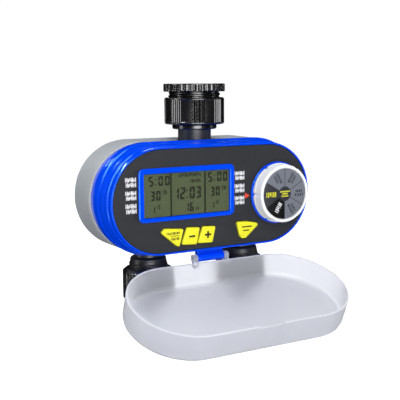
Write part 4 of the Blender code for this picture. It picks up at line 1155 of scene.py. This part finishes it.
# ------------------------------------------------------------------ battery door and screws
door = slab("battery_hatch", [rectangle(-18.7, 18.7, -29.9, 29.9, 3.7, 8)], 52.3, 53.7, GREY, edge=0.3)
tools = [(slab("t_plug", [rectangle(-15.6, 15.6, -26.8, 26.8, 2.0)], 50.8, 52.6, GREY), "UNION"),
         (rod("t_drecess", (0, 52.7, -22), "Y", 5, 3.5, None, 40), "DIFFERENCE"),
         (rod("t_dhole", (0, 42, -22), "Y", 13, 1.7, None, 24), "DIFFERENCE")]
for k in range(5):
    tools.append((slab(f"t_grip_{k}", [rectangle(-8, 8, 17.0 + 2.0 * k, 18.0 + 2.0 * k, 0.45)], 53.3, 55, GREY), "DIFFERENCE"))
combine(door, *tools)
put(door, "housing", "grey_shell", "battery_door")


def screw(name, x, z, top, head, shaft, end, node, tip):
    """A pan-head screw with a cross recess; heights run along +Y."""
    prof = [(0, -top)] + arcs([(0.01, -top), (2.2, -top, 0.8), (2.8, -(top - 0.6), 0.4), (2.8, -head, 0.15), (1.25, -head)], 4, closed=False)[1:]
    steps = int((head - end) / 0.25)
    for i in range(1, steps):
        prof.append((1.25 - (0.22 if i % 4 in (1, 2) else 0.0), -(head - (head - end) * i / steps)))
    prof += [(1.1, -end), (0.5, -tip), (0, -tip - 0.01 if tip < end else -tip)]
    obj = lathe(name, prof, (x, 0, z), "Y", STEEL, 40, sharp=34)
    cross = slab(f"t_cross_{name}", [[(x - 1.5, z - 0.3), (x - 0.3, z - 0.3), (x - 0.3, z - 1.5), (x + 0.3, z - 1.5), (x + 0.3, z - 0.3), (x + 1.5, z - 0.3),
                                     (x + 1.5, z + 0.3), (x + 0.3, z + 0.3), (x + 0.3, z + 1.5), (x - 0.3, z + 1.5), (x - 0.3, z + 0.3), (x - 1.5, z + 0.3)]],
                 top - 0.6, top + 2, STEEL)
    combine(obj, (cross, "DIFFERENCE"), sharp=34)
    return put(obj, "housing", "steel", node)


for k, (x, z) in enumerate(SCREWS):
    screw(f"case_screw_{k + 1}", x, z, 36.0, 34.4, 1.25, 16.0, f"housing_screw_{k + 1}", 14.6)
screw("hatch_screw", 0, -22, 54.2, 53.0, 1.25, 51.2, "battery_door_screw", 50.7)

# ------------------------------------------------------------------ pieces that keep their CAD shape
KEEP = {
    "keypad_mat": MAT_RUBBER, "rotary_switch": SWITCH, "circuit_board": BOARD, "dial_shaft": SWITCH,
    "left_motor": TIN, "right_motor": TIN, "battery_tray": TRAY, "battery_left": CELL, "battery_right": CELL,
    "left_battery_spring": STEEL, "right_battery_spring": STEEL, "battery_contact": STEEL, "battery_door_seal": SEAL,
    "left_valve_ball": GEAR, "right_valve_ball": GEAR, "left_drive_gear": GEAR, "right_drive_gear": GEAR,
    "left_pinion": GEAR, "right_pinion": GEAR}
for node, mat in KEEP.items():
    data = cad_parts[node].data
    if data.materials:
        for k in range(len(data.materials)):
            data.materials[k] = mat
    else:
        data.materials.append(mat)

low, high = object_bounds()
